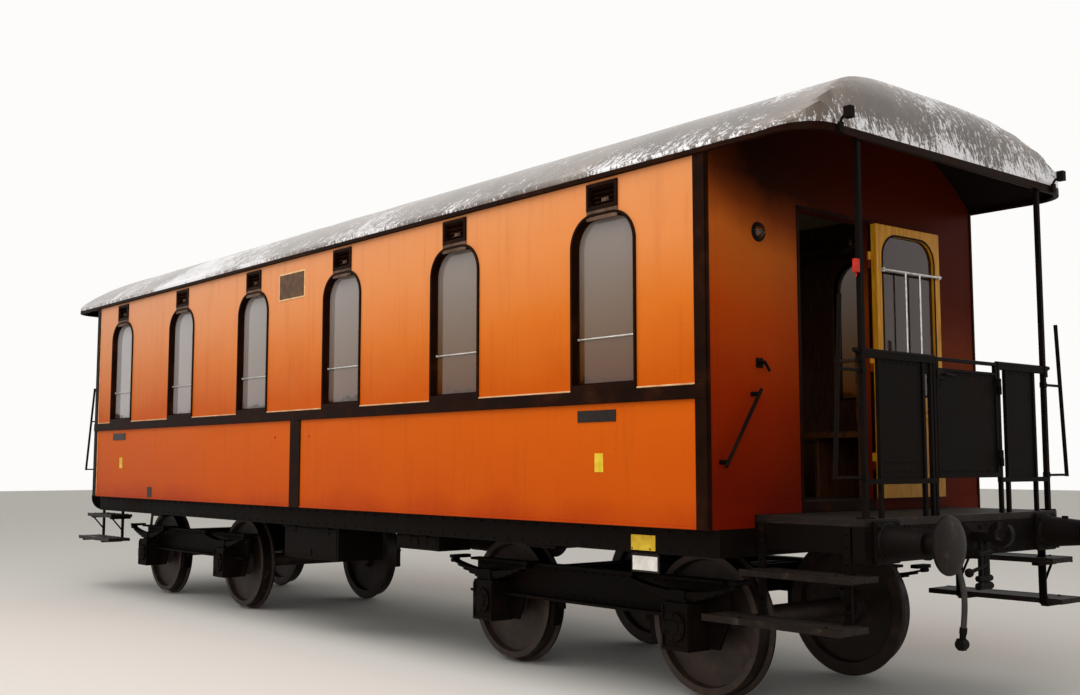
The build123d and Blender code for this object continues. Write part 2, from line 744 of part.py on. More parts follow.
# Buffers: base plate, tapered casing, plunger and dished head
buffer_y = 875
buffer_height = rail_top + 1050
buffer_reach = 415
buffer_base = 240
buffer_base_thickness = 20
casing_end = 270
casing_root_radius = 100
casing_tip_radius = 78
plunger_radius = 52
head_radius = 160
head_rim = 14
head_dish = 12
head_back = buffer_reach - head_rim - head_dish
with BuildPart() as buffers:
    for end in (-1, 1):
        for side in (-1, 1):
            facing = Plane(origin=(end * headstock_x, side * buffer_y, buffer_height), z_dir=(end, 0, 0))
            with BuildSketch(facing):
                RectangleRounded(buffer_base, buffer_base, 20)
            extrude(amount=buffer_base_thickness)
            with BuildSketch(facing.offset(buffer_base_thickness)):
                Circle(casing_root_radius)
            with BuildSketch(facing.offset(casing_end)):
                Circle(casing_tip_radius)
            loft()
            with BuildSketch(facing.offset(casing_end)):
                Circle(plunger_radius)
            extrude(amount=head_back - casing_end)
            with BuildSketch(facing.offset(head_back)):
                Circle(head_radius)
            extrude(amount=head_rim)
            with BuildSketch(facing.offset(head_back + head_rim)):
                Circle(head_radius)
            with BuildSketch(facing.offset(buffer_reach)):
                Circle(head_radius - 55)
            loft()
write(buffers, "buffers")

# Draw gear: hook, screw coupling and its hanging link at the middle of each headstock
hook_height = buffer_height
hook_width = 44
hook_radius = 75
hook_throat = 36
hook_centre = headstock_x + 200
link_x = headstock_x + 80
link_y = 34
link_drop = 300
link_bar = 24
link_pin_radius = 22
with BuildPart() as draw_gear:
    for end in (-1, 1):
        with Locations((end * (headstock_x + 10), 0, hook_height)):
            Box(20, 200, 160)
        with Locations((end * (headstock_x + 90), 0, hook_height)):
            Box(160, hook_width, 56)
        with BuildSketch(Plane.XZ.offset(-hook_width / 2)):
            with Locations((end * hook_centre, hook_height + 20)):
                Circle(hook_radius)
                Circle(hook_throat, mode=Mode.SUBTRACT)
            with Locations((end * (hook_centre + 20), hook_height + hook_radius)):
                Rectangle(60, 60, mode=Mode.SUBTRACT)
        extrude(amount=hook_width)
        for side in (-1, 1):
            with Locations((end * link_x, side * link_y, hook_height - link_drop / 2)):
                Box(link_bar + 2, link_bar, link_drop)
        with Locations(Location((end * link_x, 0, hook_height - link_drop + 10), (90, 0, 0))):
            Cylinder(link_pin_radius, 140)
write(draw_gear, "draw_gear")

# Brake pipes: bracket and elbow on each headstock, with the hose and its coupling head
hose_y = -330
hose_radius = 17
# places outward from the headstock, sideways from the elbow, and above the floor
hose_route = [(60, 0, 1010), (115, 0, 905), (148, -6, 785), (150, -10, 660), (132, -6, 545)]
hose_reach = 0.45
for end, name in ((1, "brake_hose_1"), (-1, "brake_hose_2")):
    points = [Vector(end * (headstock_x + out), hose_y + across, height) for out, across, height in hose_route]
    radii = []
    for before, corner, after in zip(points, points[1:], points[2:]):
        first, second = corner - before, after - corner
        turn = radians(first.get_angle(second))
        radii.append(hose_reach * min(first.length, second.length) / tan(turn / 2))
    print(name, "bend radii", [round(r) for r in radii])
    with BuildPart() as hose:
        with BuildLine() as path:
            FilletPolyline(*points, radius=radii)
        with BuildSketch(Plane(origin=points[0], z_dir=points[1] - points[0])):
            Circle(hose_radius)
        sweep(path=path.line)
    write(hose, name)

hose_start = Vector(hose_route[0][0], hose_route[0][1], hose_route[0][2])
hose_lead = (Vector(*hose_route[1]) - hose_start).normalized()
hose_end = Vector(*hose_route[-1])
hose_trail = (hose_end - Vector(*hose_route[-2])).normalized()
with BuildPart() as brake_pipes:
    origin = Vector(headstock_x, hose_y, 0)
    with BuildSketch(Plane(origin=origin + hose_start, z_dir=-hose_lead)):
        Circle(hose_radius + 5)
    extrude(amount=70)
    elbow = origin + hose_start - hose_lead * 55
    with Locations(elbow):
        Sphere(26)
    with Locations(Location((headstock_x + (elbow.X - headstock_x) / 2, hose_y, elbow.Z), (0, 90, 0))):
        Cylinder(20, elbow.X - headstock_x)
    with Locations((headstock_x + 6, hose_y, elbow.Z)):
        Box(12, 90, 90)
    split(bisect_by=Plane.YZ.offset(headstock_x), keep=Keep.TOP)
with BuildPart() as pipes_both:
    add(brake_pipes.part)
    add(brake_pipes.part.mirror(Plane.YZ))
write(pipes_both, "brake_pipes")

with BuildPart() as coupling_head:
    tip = Vector(headstock_x, hose_y, 0) + hose_end
    with BuildSketch(Plane(origin=tip, z_dir=hose_trail)):
        Circle(hose_radius + 4)
    extrude(amount=45)
    with Locations(tip + hose_trail * 62):
        Box(46, 60, 66)
with BuildPart() as couplings_both:
    add(coupling_head.part)
    add(coupling_head.part.mirror(Plane.YZ))
write(couplings_both, "brake_couplings")

# Underslung gear: battery box and equipment box under the sole bar, air reservoir on the other side
box_setback = 60
box_table = [
    # name, middle x, length, width, height
    ("battery_box", 40, 945, 450, 290),
    ("equipment_box", 1705, 580, 300, 120),
]
for name, x, length, width, height in box_table:
    with BuildPart() as box:
        with Locations((x, -(inner_width - box_setback - width / 2), sole_bottom - height / 2)):
            Box(length, width, height)
    write(box, name)

reservoir_radius = 165
reservoir_length = 1300
reservoir_y = inner_width - 330
reservoir_z = sole_bottom - 185
strap_width = 50
strap_x = 430
with BuildPart() as air_reservoir:
    with Locations(Location((0, reservoir_y, reservoir_z), (0, 90, 0))):
        Cylinder(reservoir_radius, reservoir_length)
    for x in (-strap_x, strap_x):
        with Locations((x, reservoir_y, (reservoir_z + sole_bottom) / 2)):
            Box(strap_width, 60, sole_bottom - reservoir_z)
        with Locations((x, (reservoir_y + inner_width) / 2, sole_bottom - 12)):
            Box(strap_width, inner_width - reservoir_y, 24)
write(air_reservoir, "air_reservoir")

# Bogies: plate side frames with axleguards, transoms and the centre plate
side_centre_y = side_frame_y + side_frame_thickness / 2
flange_width = 94
flange_thickness = 20
guard_top_half = 290
guard_bottom_half = 205
horn_bottom = axle_height - 140
transom_x = 320
transom_width = 90
transom_depth = 220
cradle_width = 520
cradle_depth = 180
box_top = axle_height + axlebox_height / 2
plate_top = bolster_bottom - swivel_clearance

# Leaf springs over the axleboxes: nested arcs, the long leaf on top, held by a buckle and two brackets
spring_y = side_frame_y + flange_width + 36
leaf_count = 5
leaf_thickness = 12
leaf_width = 72
main_leaf = 900
leaf_step = 150
leaf_radius = 1900
spring_seat = 9
buckle_length = 110
buckle_wall = 10
eye_radius = 16
leaf_stack = leaf_count * leaf_thickness
spring_centre_z = box_top + spring_seat + leaf_radius
eye_z = spring_centre_z - sqrt((leaf_radius - leaf_stack + leaf_thickness / 2) ** 2 - (main_leaf / 2) ** 2)
bracket_length = 60
bracket_bottom = eye_z + eye_radius + fit
bracket_depth = 26


def leaf(radius, half, middle):
    with BuildSketch() as outline:
        with BuildLine():
            low_end = spring_centre_z - sqrt(radius**2 - half**2)
            high_end = spring_centre_z - sqrt((radius - leaf_thickness) ** 2 - half**2)
            ThreePointArc((middle - half, low_end), (middle, spring_centre_z - radius), (middle + half, low_end))
            Line((middle + half, low_end), (middle + half, high_end))
            ThreePointArc((middle + half, high_end), (middle, spring_centre_z - radius + leaf_thickness),
                          (middle - half, high_end))
            Line((middle - half, high_end), (middle - half, low_end))
        make_face()
    return outline.sketch


for end, name in ((1, "bogie_1"), (-1, "bogie_2")):
    centre = end * pivot_x
    with BuildPart() as frame:
        for side in (-1, 1):
            with Locations((centre, side * side_centre_y, (side_frame_bottom + side_frame_top) / 2)):
                Box(2 * bogie_half_length, side_frame_thickness, side_frame_top - side_frame_bottom)
            for z in (side_frame_top - flange_thickness / 2, side_frame_bottom + flange_thickness / 2):
                with Locations((centre, side * (side_frame_y + flange_width / 2), z)):
                    Box(2 * bogie_half_length, flange_width, flange_thickness)
            for axle in (-1, 1):
                axle_x = centre + axle * wheelbase / 2
                with BuildSketch(Plane.XZ.offset(-side * side_frame_y)):
                    Polygon((axle_x - guard_top_half, side_frame_bottom), (axle_x + guard_top_half, side_frame_bottom),
                            (axle_x + guard_bottom_half, horn_bottom), (axle_x - guard_bottom_half, horn_bottom),
                            align=None)
                extrude(amount=-side * side_frame_thickness)
                with Locations((axle_x, side * (side_frame_y + flange_width / 2), (horn_bottom + box_top) / 2)):
                    Box(axlebox_width, flange_width + 60, box_top - horn_bottom, mode=Mode.SUBTRACT)
                for step in (-1, 1):
                    with Locations((axle_x + step * main_leaf / 2, side * (side_frame_y + spring_y + leaf_width / 2) / 2,
                                    bracket_bottom + bracket_depth / 2)):
                        Box(bracket_length, spring_y + leaf_width / 2 - side_frame_y, bracket_depth)
        for step in (-1, 1):
            with Locations((centre + step * transom_x, 0, (side_frame_bottom + side_frame_top) / 2)):
                Box(transom_width, 2 * side_frame_y, transom_depth)
        with Locations((centre, 0, side_frame_top - cradle_depth / 2)):
            Box(2 * transom_x, cradle_width, cradle_depth)
        with Locations((centre, 0, (side_frame_top + plate_top) / 2)):
            Cylinder(centre_plate_radius, plate_top - side_frame_top)
    write(frame, f"{name}_frame")

    lid_radius = 92
    lid_thickness = 22
    box_front = journal_end_y + 30
    with BuildPart() as boxes:
        for side in (-1, 1):
            for axle in (-1, 1):
                axle_x = centre + axle * wheelbase / 2
                with Locations((axle_x, side * (side_frame_y + box_front) / 2, axle_height)):
                    Box(axlebox_width, box_front - side_frame_y, axlebox_height)
                with Locations(Location((axle_x, side * (box_front + lid_thickness / 2), axle_height), (90, 0, 0))):
                    Cylinder(lid_radius, lid_thickness)
                with Locations(Location((axle_x, side * (side_frame_y + journal_end_y + 1) / 2, axle_height), (90, 0, 0))):
                    Cylinder(journal_radius + fit, journal_end_y + 1 - side_frame_y, mode=Mode.SUBTRACT)
    write(boxes, f"{name}_axleboxes")

    with BuildPart() as springs:
        for side in (-1, 1):
            for axle in (-1, 1):
                axle_x = centre + axle * wheelbase / 2
                for row in range(leaf_count):
                    half = (main_leaf - leaf_step * (leaf_count - 1 - row)) / 2
                    with BuildSketch(Plane.XZ.offset(-side * (spring_y - leaf_width / 2))):
                        add(leaf(leaf_radius - row * leaf_thickness, half, axle_x))
                    extrude(amount=-side * leaf_width)
                for step in (-1, 1):
                    with Locations(Location((axle_x + step * main_leaf / 2, side * spring_y, eye_z), (90, 0, 0))):
                        Cylinder(eye_radius, leaf_width)
                with Locations((axle_x, side * spring_y, box_top + (spring_seat + leaf_stack + buckle_wall) / 2)):
                    Box(buckle_length, leaf_width + 2 * buckle_wall, spring_seat + leaf_stack + buckle_wall)
    write(springs, f"{name}_springs")

# Brake blocks hung inside each wheel on a cross beam between the side frames
block_gap = 6
block_thickness = 45
block_low_y = back_to_back / 2 + 40
block_width = 80
block_reach = tread_radius + block_gap
beam_z = side_frame_top - 50
for end, name in ((1, "bogie_1"), (-1, "bogie_2")):
    with BuildPart() as brake_gear:
        for axle in (-1, 1):
            axle_x = end * pivot_x + axle * wheelbase / 2
            beam_x = axle_x - axle * (block_reach + block_thickness + 30)
            for side in (-1, 1):
                with BuildSketch(Plane.XZ.offset(-side * block_low_y)):
                    with Locations((axle_x, axle_height)):
                        Circle(block_reach + block_thickness)
                        Circle(block_reach, mode=Mode.SUBTRACT)
                    with Locations((axle_x - axle * block_reach, axle_height - 20)):
                        Rectangle(4 * block_thickness, 300, mode=Mode.INTERSECT)
                extrude(amount=-side * block_width)
                with Locations((beam_x, side * (block_low_y + block_width / 2), (axle_height - 40 + beam_z) / 2)):
                    Box(62, 30, beam_z - axle_height + 40)
            with Locations((beam_x, 0, beam_z)):
                Box(50, 2 * side_frame_y, 60)
    write(brake_gear, f"{name}_brake_gear")

# Wheelsets: two flanged disc wheels and their axle turned as one
number = 0
for end in (1, -1):
    for axle in (1, -1):
        number += 1
        axle_x = end * pivot_x + axle * wheelbase / 2
        with BuildPart() as wheelset:
            inner = back_to_back / 2
            with BuildSketch(Plane.YZ) as profile:
                with BuildLine():
                    Polyline(
                        (0, 0),
                        (journal_end_y, 0),
                        (journal_end_y, journal_radius),
                        (side_frame_y - 20, journal_radius),
                        (side_frame_y - 20, axle_radius),
                        (inner + rim_width + 10, axle_radius),
                        (inner + rim_width + 10, hub_radius),
                        (inner + rim_width / 2 + wheel_web / 2, hub_radius + 20),
                        (inner + rim_width / 2 + wheel_web / 2, tread_radius - rim_depth),
                        (inner + rim_width, tread_radius - rim_depth + 10),
                        (inner + rim_width, tread_radius - 5),
                        (inner + 34, tread_radius),
                        (inner + 24, tread_radius + flange_depth),
                        (inner + 8, tread_radius + flange_depth),
                        (inner, tread_radius + flange_depth - 12),
                        (inner, tread_radius - rim_depth),
                        (inner + rim_width / 2 - wheel_web / 2, tread_radius - rim_depth - 10),
                        (inner + rim_width / 2 - wheel_web / 2, hub_radius + 20),
                        (inner - 10, hub_radius),
                        (inner - 10, axle_radius),
                        (0, axle_radius),
                        (0, 0),
                    )
                make_face()
            revolve(axis=Axis.Y)
            mirror(about=Plane.XZ)
        with BuildPart() as placed:
            add(wheelset.part.moved(Location((axle_x, 0, axle_height))))
        write(placed, f"wheelset_{number}")
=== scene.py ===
import json
from functools import partial
from math import copysign, cos, hypot, radians, sin, sqrt

import bmesh
import bpy
from mathutils import Matrix, Vector, noise

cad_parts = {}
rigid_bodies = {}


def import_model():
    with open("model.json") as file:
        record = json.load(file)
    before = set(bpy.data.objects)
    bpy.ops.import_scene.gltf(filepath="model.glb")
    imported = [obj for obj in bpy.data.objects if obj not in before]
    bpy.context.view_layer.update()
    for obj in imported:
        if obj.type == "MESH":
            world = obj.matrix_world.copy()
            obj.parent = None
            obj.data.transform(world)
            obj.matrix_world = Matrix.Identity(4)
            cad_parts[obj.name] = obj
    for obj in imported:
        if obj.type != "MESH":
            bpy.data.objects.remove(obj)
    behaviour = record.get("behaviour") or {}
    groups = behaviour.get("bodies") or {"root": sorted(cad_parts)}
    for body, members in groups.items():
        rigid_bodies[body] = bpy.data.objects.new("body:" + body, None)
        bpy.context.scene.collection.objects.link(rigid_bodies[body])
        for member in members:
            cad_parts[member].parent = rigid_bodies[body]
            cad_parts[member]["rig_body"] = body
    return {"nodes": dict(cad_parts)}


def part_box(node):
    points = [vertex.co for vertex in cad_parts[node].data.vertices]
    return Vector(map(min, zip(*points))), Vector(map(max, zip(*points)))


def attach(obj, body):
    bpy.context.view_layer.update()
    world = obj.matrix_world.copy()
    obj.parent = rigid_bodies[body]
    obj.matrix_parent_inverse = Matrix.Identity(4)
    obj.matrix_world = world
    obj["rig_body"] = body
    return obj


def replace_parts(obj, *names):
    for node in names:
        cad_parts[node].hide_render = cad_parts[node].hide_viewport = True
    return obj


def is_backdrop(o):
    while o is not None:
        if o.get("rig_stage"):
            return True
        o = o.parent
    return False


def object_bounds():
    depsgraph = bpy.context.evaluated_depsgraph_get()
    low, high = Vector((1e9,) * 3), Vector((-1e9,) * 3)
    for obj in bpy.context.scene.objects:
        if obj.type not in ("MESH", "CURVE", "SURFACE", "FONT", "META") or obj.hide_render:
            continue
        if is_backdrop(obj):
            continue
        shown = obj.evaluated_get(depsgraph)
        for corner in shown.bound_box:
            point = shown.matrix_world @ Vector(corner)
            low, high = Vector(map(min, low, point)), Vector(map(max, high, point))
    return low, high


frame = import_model()
cad_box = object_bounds()

# Camera
# A hand-held 35 mm camera at standing height beside the track, looking a little up along the coach.
# Its place, heading and lens were solved from the coach's own verticals and windows.
def stand(name, data):
    """A new object in the scene."""
    made = bpy.data.objects.new(name, data)
    bpy.context.scene.collection.objects.link(made)
    return made


camera = stand("camera", bpy.data.cameras.new("camera"))
camera.location = (9.7287, -6.7675, 1.5184)
camera.rotation_euler = (radians(95.394), 0, radians(50.079))
camera.data.sensor_fit = "HORIZONTAL"
camera.data.sensor_width = 36
camera.data.lens = 40.78
camera.data.clip_end = 300
bpy.context.scene.camera = camera
bpy.context.scene.view_settings.view_transform = "Standard"


# Floor and light
# A plain pale floor under a white overcast sky, as in a studio with one large soft box overhead.
# The lamps are soft and low, so that each colour comes out about as it is written.
def linear(code):
    """An sRGB hex colour as the linear values that shaders take."""
    parts = [int(code[place:place + 2], 16) / 255 for place in (1, 3, 5)]
    return [p / 12.92 if p <= 0.04045 else ((p + 0.055) / 1.055) ** 2.4 for p in parts] + [1.0]


def join(tree, node, links):
    """Links a node's sockets to other sockets, or to the first socket of other nodes."""
    for name, source in links.items():
        tree.links.new(getattr(source, "outputs", [source])[0], node.inputs[name])


def add_node(tree, kind, settings, links):
    """Adds one node, sets its options and sockets, and links it to earlier nodes."""
    node = tree.nodes.new("ShaderNode" + kind)
    for name, value in settings.items():
        if name == "stops":
            while len(node.color_ramp.elements) < len(value):
                node.color_ramp.elements.new(0.5)
            for element, (place, code) in zip(node.color_ramp.elements, value):
                element.position = place
                element.color = linear(code)
        elif isinstance(name, str) and hasattr(node, name):
            setattr(node, name, value)
        else:
            node.inputs[name].default_value = value
    join(tree, node, links)
    return node


def pattern(name, values):
    """A material with its shader's plain sockets set, and the calls that add its nodes and link its shader.

    A node that is given no links reads the object's own coordinates.
    """
    material = bpy.data.materials.new(name)
    material.use_nodes = True
    tree = material.node_tree
    shader = tree.nodes["Principled BSDF"]
    for socket, value in values.items():
        shader.inputs[socket].default_value = value
    place = add_node(tree, "TexCoord", {}, {}).outputs["Object"]

    def add(kind, settings, links=None):
        return add_node(tree, kind, settings, {"Vector": place} if links is None else links)

    return material, add, partial(join, tree, shader)


floor_paint = pattern("pale_floor", {"Base Color": linear("#D9D5CE"), "Roughness": 0.9})[0]
shape = bmesh.new()
bmesh.ops.create_grid(shape, x_segments=1, y_segments=1, size=60)
floor_mesh = bpy.data.meshes.new("studio_floor")
shape.to_mesh(floor_mesh)
shape.free()
floor_mesh.materials.append(floor_paint)
studio_floor = stand("studio_floor", floor_mesh)
studio_floor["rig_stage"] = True

world = bpy.data.worlds.new("overcast")
bpy.context.scene.world = world
world.use_nodes = True
sky = world.node_tree
sky.nodes.clear()
rays = add_node(sky, "LightPath", {}, {}).outputs
seen = add_node(sky, "Math", {"operation": "MAXIMUM"}, {0: rays["Is Camera Ray"], 1: rays["Is Glossy Ray"]})
seen = add_node(sky, "Math", {"operation": "MAXIMUM"}, {0: seen, 1: rays["Is Transmission Ray"]})
strength = add_node(sky, "MapRange", {"To Min": 0.55, "To Max": 1.0}, {"Value": seen})
background = add_node(sky, "Background", {"Color": linear("#FDFCFA")}, {"Strength": strength})
add_node(sky, "OutputWorld", {}, {"Surface": background})

for lamp_name, place, aim, size, power in (
        ("overhead_box", (2.0, -5.0, 10.0), (0, 0, 1.5), (14, 8), 900),
        ("platform_box", (12.0, -9.0, 5.0), (2.0, 0, 2.0), (6, 5), 260)):
    lamp = bpy.data.lights.new(lamp_name, "AREA")
    lamp.shape = "RECTANGLE"
    lamp.size, lamp.size_y = size
    lamp.energy = power
    lamp_object = stand(lamp_name, lamp)
    lamp_object.location = place
    lamp_object.rotation_euler = (Vector(aim) - Vector(place)).to_track_quat("-Z", "Y").to_euler()


# Brake hoses
# Two short rubber hoses with woven cover, one at each headstock, hanging from the brake pipe's elbow.
# Each ends in a cast coupling head with a claw, held by a steel clamp.
def grains(scale, detail, roughness=0.5, distortion=0.0):
    """The settings of a noise."""
    return {"Scale": scale, "Detail": detail, "Roughness": roughness, "Distortion": distortion}


def span(low, high, to_low=0, to_high=1):
    """The settings of a map range."""
    return {"From Min": low, "From Max": high, "To Min": to_low, "To Max": to_high}


def scaled(factor, offset):
    """The settings of a sum that multiplies a value and adds an offset."""
    return {"operation": "MULTIPLY_ADD", 1: factor, 2: offset}


def tint(code):
    """The settings of a mix towards one colour."""
    return {"data_type": "RGBA", 7: linear(code)}


def finish(name, cloud, stops, values, relief=None, fine=None, stretch=None, gloss=None):
    """A material whose colour, gloss and relief follow a noise: its scale, detail, roughness and distortion.

    The relief is a bump's strength and depth in metres, and may have a finer noise of its own.
    """
    material, add, finish_shader = pattern(name, values)
    along_grain = {"Vector": add("Mapping", {"Scale": stretch})} if stretch else None
    cloud = add("TexNoise", grains(*cloud), along_grain)
    links = {"Base Color": add("ValToRGB", {"stops": stops}, {"Fac": cloud})}
    if gloss:
        links["Roughness"] = add("MapRange", span(0, 1, *gloss), {"Value": cloud})
    if relief:
        grain = add("TexNoise", grains(*fine), along_grain) if fine else cloud
        links["Normal"] = add("Bump", {"Strength": relief[0], "Distance": relief[1]}, {"Height": grain})
    finish_shader(links)
    return material


# Rubber hose, moulded with a cloth wrap: matt black-brown with dust that catches in the weave.
hose_rubber, add, finish_shader = pattern("hose_rubber", {"Roughness": 0.7, "IOR": 1.52})
weave = add("TexWave", {"bands_direction": "DIAGONAL", "Scale": 60, "Distortion": 0.5})
dust = add("TexNoise", grains(14, 6))
tone = add("ValToRGB", {"stops": [(0.35, "#120F0D"), (0.75, "#2B2420")]}, {"Fac": dust})
bump = add("Bump", {"Strength": 0.5, "Distance": 0.001}, {"Height": weave.outputs["Fac"]})
finish_shader({"Base Color": tone, "Normal": bump})

# Cast iron, painted black and handled: grey-brown where the paint is worn.
cast_iron = finish("black_cast_iron", (7, 5), [(0.3, "#070403"), (0.62, "#0F0906"), (0.8, "#20160F")],
                   {"Roughness": 0.6, "Specular IOR Level": 0.08}, relief=(0.35, 0.001), fine=(90, 8))
cast = ([cast_iron], "underframe_black")


def new_piece(name, shape, materials, slot=None, body="coach", edge=0, segments=2, smooth=35, angle=40):
    """Makes a named object that rides on a body, its edges rounded as worn paint and rolled steel are."""
    for line in shape.edges:
        line.smooth = len(line.link_faces) == 2 and line.calc_face_angle(0) < radians(smooth)
    for face in shape.faces:
        face.smooth = True
    mesh = bpy.data.meshes.new(name)
    shape.to_mesh(mesh)
    shape.free()
    for material in materials:
        mesh.materials.append(material)
    piece = stand(name, mesh)
    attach(piece, body)
    if edge:
        edges = piece.modifiers.new("rounded_edges", "BEVEL")
        edges.width = edge
        edges.segments = segments
        edges.limit_method = "ANGLE"
        edges.angle_limit = radians(angle)
        edges.harden_normals = True
    return piece


def add_block(shape, one, other, end=1, side=1):
    """Adds a box between two opposite corners, turned over to the other end or side by -1."""
    signs = (end, side, 1)
    low = Vector([min(sign * a, sign * b) for sign, a, b in zip(signs, one, other)])
    high = Vector([max(sign * a, sign * b) for sign, a, b in zip(signs, one, other)])
    made = bmesh.ops.create_cube(shape, size=1)["verts"]
    bmesh.ops.scale(shape, vec=high - low, verts=made)
    bmesh.ops.translate(shape, vec=(low + high) / 2, verts=made)


def add_rod(shape, start, end, radius, sides=16, end_radius=None):
    """Adds a round bar, tapered if it has an end radius."""
    start, end = Vector(start), Vector(end)
    made = bmesh.ops.create_cone(shape, cap_ends=True, segments=sides, radius1=radius,
                                 radius2=radius if end_radius is None else end_radius,
                                 depth=(end - start).length)["verts"]
    turn = (end - start).to_track_quat("Z", "Y").to_matrix().to_4x4()
    bmesh.ops.transform(shape, matrix=Matrix.Translation((start + end) / 2) @ turn, verts=made)


def bent_tube(name, kind, spots, radius, roundness, material, course):
    """A curve with a round section along some spots, riding on the coach. The course is the spline's settings."""
    curve = bpy.data.curves.new(name, "CURVE")
    curve.dimensions = "3D"
    spline = curve.splines.new(kind)
    spline.points.add(len(spots) - 1)
    for point, spot in zip(spline.points, spots):
        point.co = (*spot, 1)
    for setting, value in course.items():
        setattr(spline, setting, value)
    curve.bevel_depth = radius
    curve.bevel_resolution = roundness
    curve.resolution_u = 16
    curve.use_fill_caps = True
    curve.materials.append(material)
    tube = stand(name, curve)
    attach(tube, "coach")
    return tube


hose_length, hose_diameter = 0.48, 0.034
both_ends = ((1, 1), (2, -1))
for number, end in both_ends:
    route = [(end * x, y, z) for x, y, z in (
        (5.745, -0.33, 1.010), (5.800, -0.33, 0.905), (5.833, -0.336, 0.785),
        (5.835, -0.340, 0.660), (5.817, -0.336, 0.545))]
    hose = bent_tube(f"hose_{number}", "NURBS", route, hose_diameter / 2, 5, hose_rubber,
                     {"order_u": 3, "use_endpoint_u": True})
    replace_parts(hose, f"brake_hose_{number}")

    tip = Vector(route[-1])
    way = (tip - Vector(route[-2])).normalized()
    head = tip + way * 0.062
    shape = bmesh.new()
    add_rod(shape, tip - way * 0.035, tip + way * 0.002, 0.022)
    add_rod(shape, tip - way * 0.004, tip + way * 0.046, 0.020, end_radius=0.016)
    add_rod(shape, head + Vector((0, -0.028, 0)), head + Vector((0, 0.028, 0)), 0.032, 20)
    add_rod(shape, head + Vector((0, 0.026, 0)), head + Vector((0, 0.030, 0)), 0.022, 20)
    add_block(shape, head + Vector((-0.012, -0.03, -0.033)), head + Vector((0.023, 0.012, -0.018)))
    add_block(shape, head + Vector((-0.022, -0.026, 0.014)), head + Vector((0.012, 0.026, 0.033)))
    coupling = new_piece(f"coupling_head_{number}", shape, *cast, edge=0.003)
    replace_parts(coupling, "brake_couplings")
    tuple(route[0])

# Underframe
# Rolled channel sole bars, bolsters and headstocks, riveted and brushed with black paint.
# Years of brake dust lie on it as a brown bloom.
# The black is drawn darker than paint is, as painted shade under the coach.
underframe_black = finish("black_underframe_paint_and_shade", (3.5, 8, 0.65),
                          [(0.3, "#070403"), (0.55, "#0D0704"), (0.75, "#1C110A")],
                          {"Specular IOR Level": 0.05}, relief=(0.3, 0.0008), fine=(140, 3), gloss=(0.45, 0.8))
black = ([underframe_black], "underframe_black")


def softened(node, edge, materials, slot, angle=40):
    """Copies a CAD solid as whole faces, rounds its edges, and stands for the CAD node."""
    source = frame["nodes"][node]
    copy = bmesh.new()
    copy.from_mesh(source.data)
    bmesh.ops.remove_doubles(copy, verts=copy.verts, dist=0.00005)
    bmesh.ops.dissolve_limit(copy, angle_limit=radians(0.8), verts=copy.verts, edges=copy.edges)
    for face in copy.faces:
        face.material_index = 0
    piece = new_piece(node + "_finished", copy, materials, slot, source["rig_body"], edge, angle=angle)
    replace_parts(piece, node)
    return piece


def heads(radius, height, places, sides=8):
    """Domed rivet or bolt heads, each standing on the plane Z = 0 of a place given as a matrix."""
    shape = bmesh.new()
    bmesh.ops.create_cone(shape, cap_ends=True, segments=sides, radius1=radius, radius2=radius * 0.55,
                          depth=height, matrix=Matrix.Translation((0, 0, height / 2)))
    mesh = bpy.data.meshes.new("rivet_shape")
    shape.to_mesh(mesh)
    shape.free()
    joined = bmesh.new()
    for matrix in places:
        mesh.transform(matrix)
        joined.from_mesh(mesh)
        mesh.transform(matrix.inverted())
    return joined


def repaint(piece, index, chosen):
    """Gives the chosen faces of a piece another of its materials."""
    for face in piece.data.polygons:
        if chosen(face):
            face.material_index = index


def facing(point, normal):
    """The place of something that stands on a surface at a point, with that normal."""
    return Matrix.Translation(point) @ Vector(normal).to_track_quat("Z", "Y").to_matrix().to_4x4()


softened("underframe", 0.004, *black)
sole_y, headstock_x = 1.36, 5.685
places = [facing((-4.80 + k * 9.6 / 61, side * sole_y, row), (0, side, 0))
          for side in (-1, 1) for row in (0.990, 1.100) for k in range(62)]
places += [facing((end * headstock_x, -1.02 + 0.12 * k, z), (end, 0, 0))
           for end in (-1, 1) for k in range(18) for z in (0.985, 1.145)]
new_piece("underframe_rivets", heads(0.011, 0.007, places), [underframe_black], smooth=60)

# Saloon floor
# Tongued pine boards laid along the coach, mottled from dark to pale.
# The grain is drawn about four times as coarse as pine's, so that it shows.
plank_wood = finish("worn_plank_wood", (6, 9, 0.7, 0.6), [(0.28, "#120A06"), (0.5, "#2A1C12"), (0.72, "#54402B")],
                    {"Roughness": 0.75, "Specular IOR Level": 0.2}, relief=(0.4, 0.0015), stretch=(1.2, 9, 9))
floor_pitch = 0.1358
shape = bmesh.new()
for k in range(20):
    y = -1.358 + k * floor_pitch
    add_block(shape, (-4.895, y, 1.2365), (4.895, y + floor_pitch - 0.002, 1.28))
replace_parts(new_piece("floor_boards", shape, [plank_wood], "plank_wood", edge=0.002, segments=1), "floor")
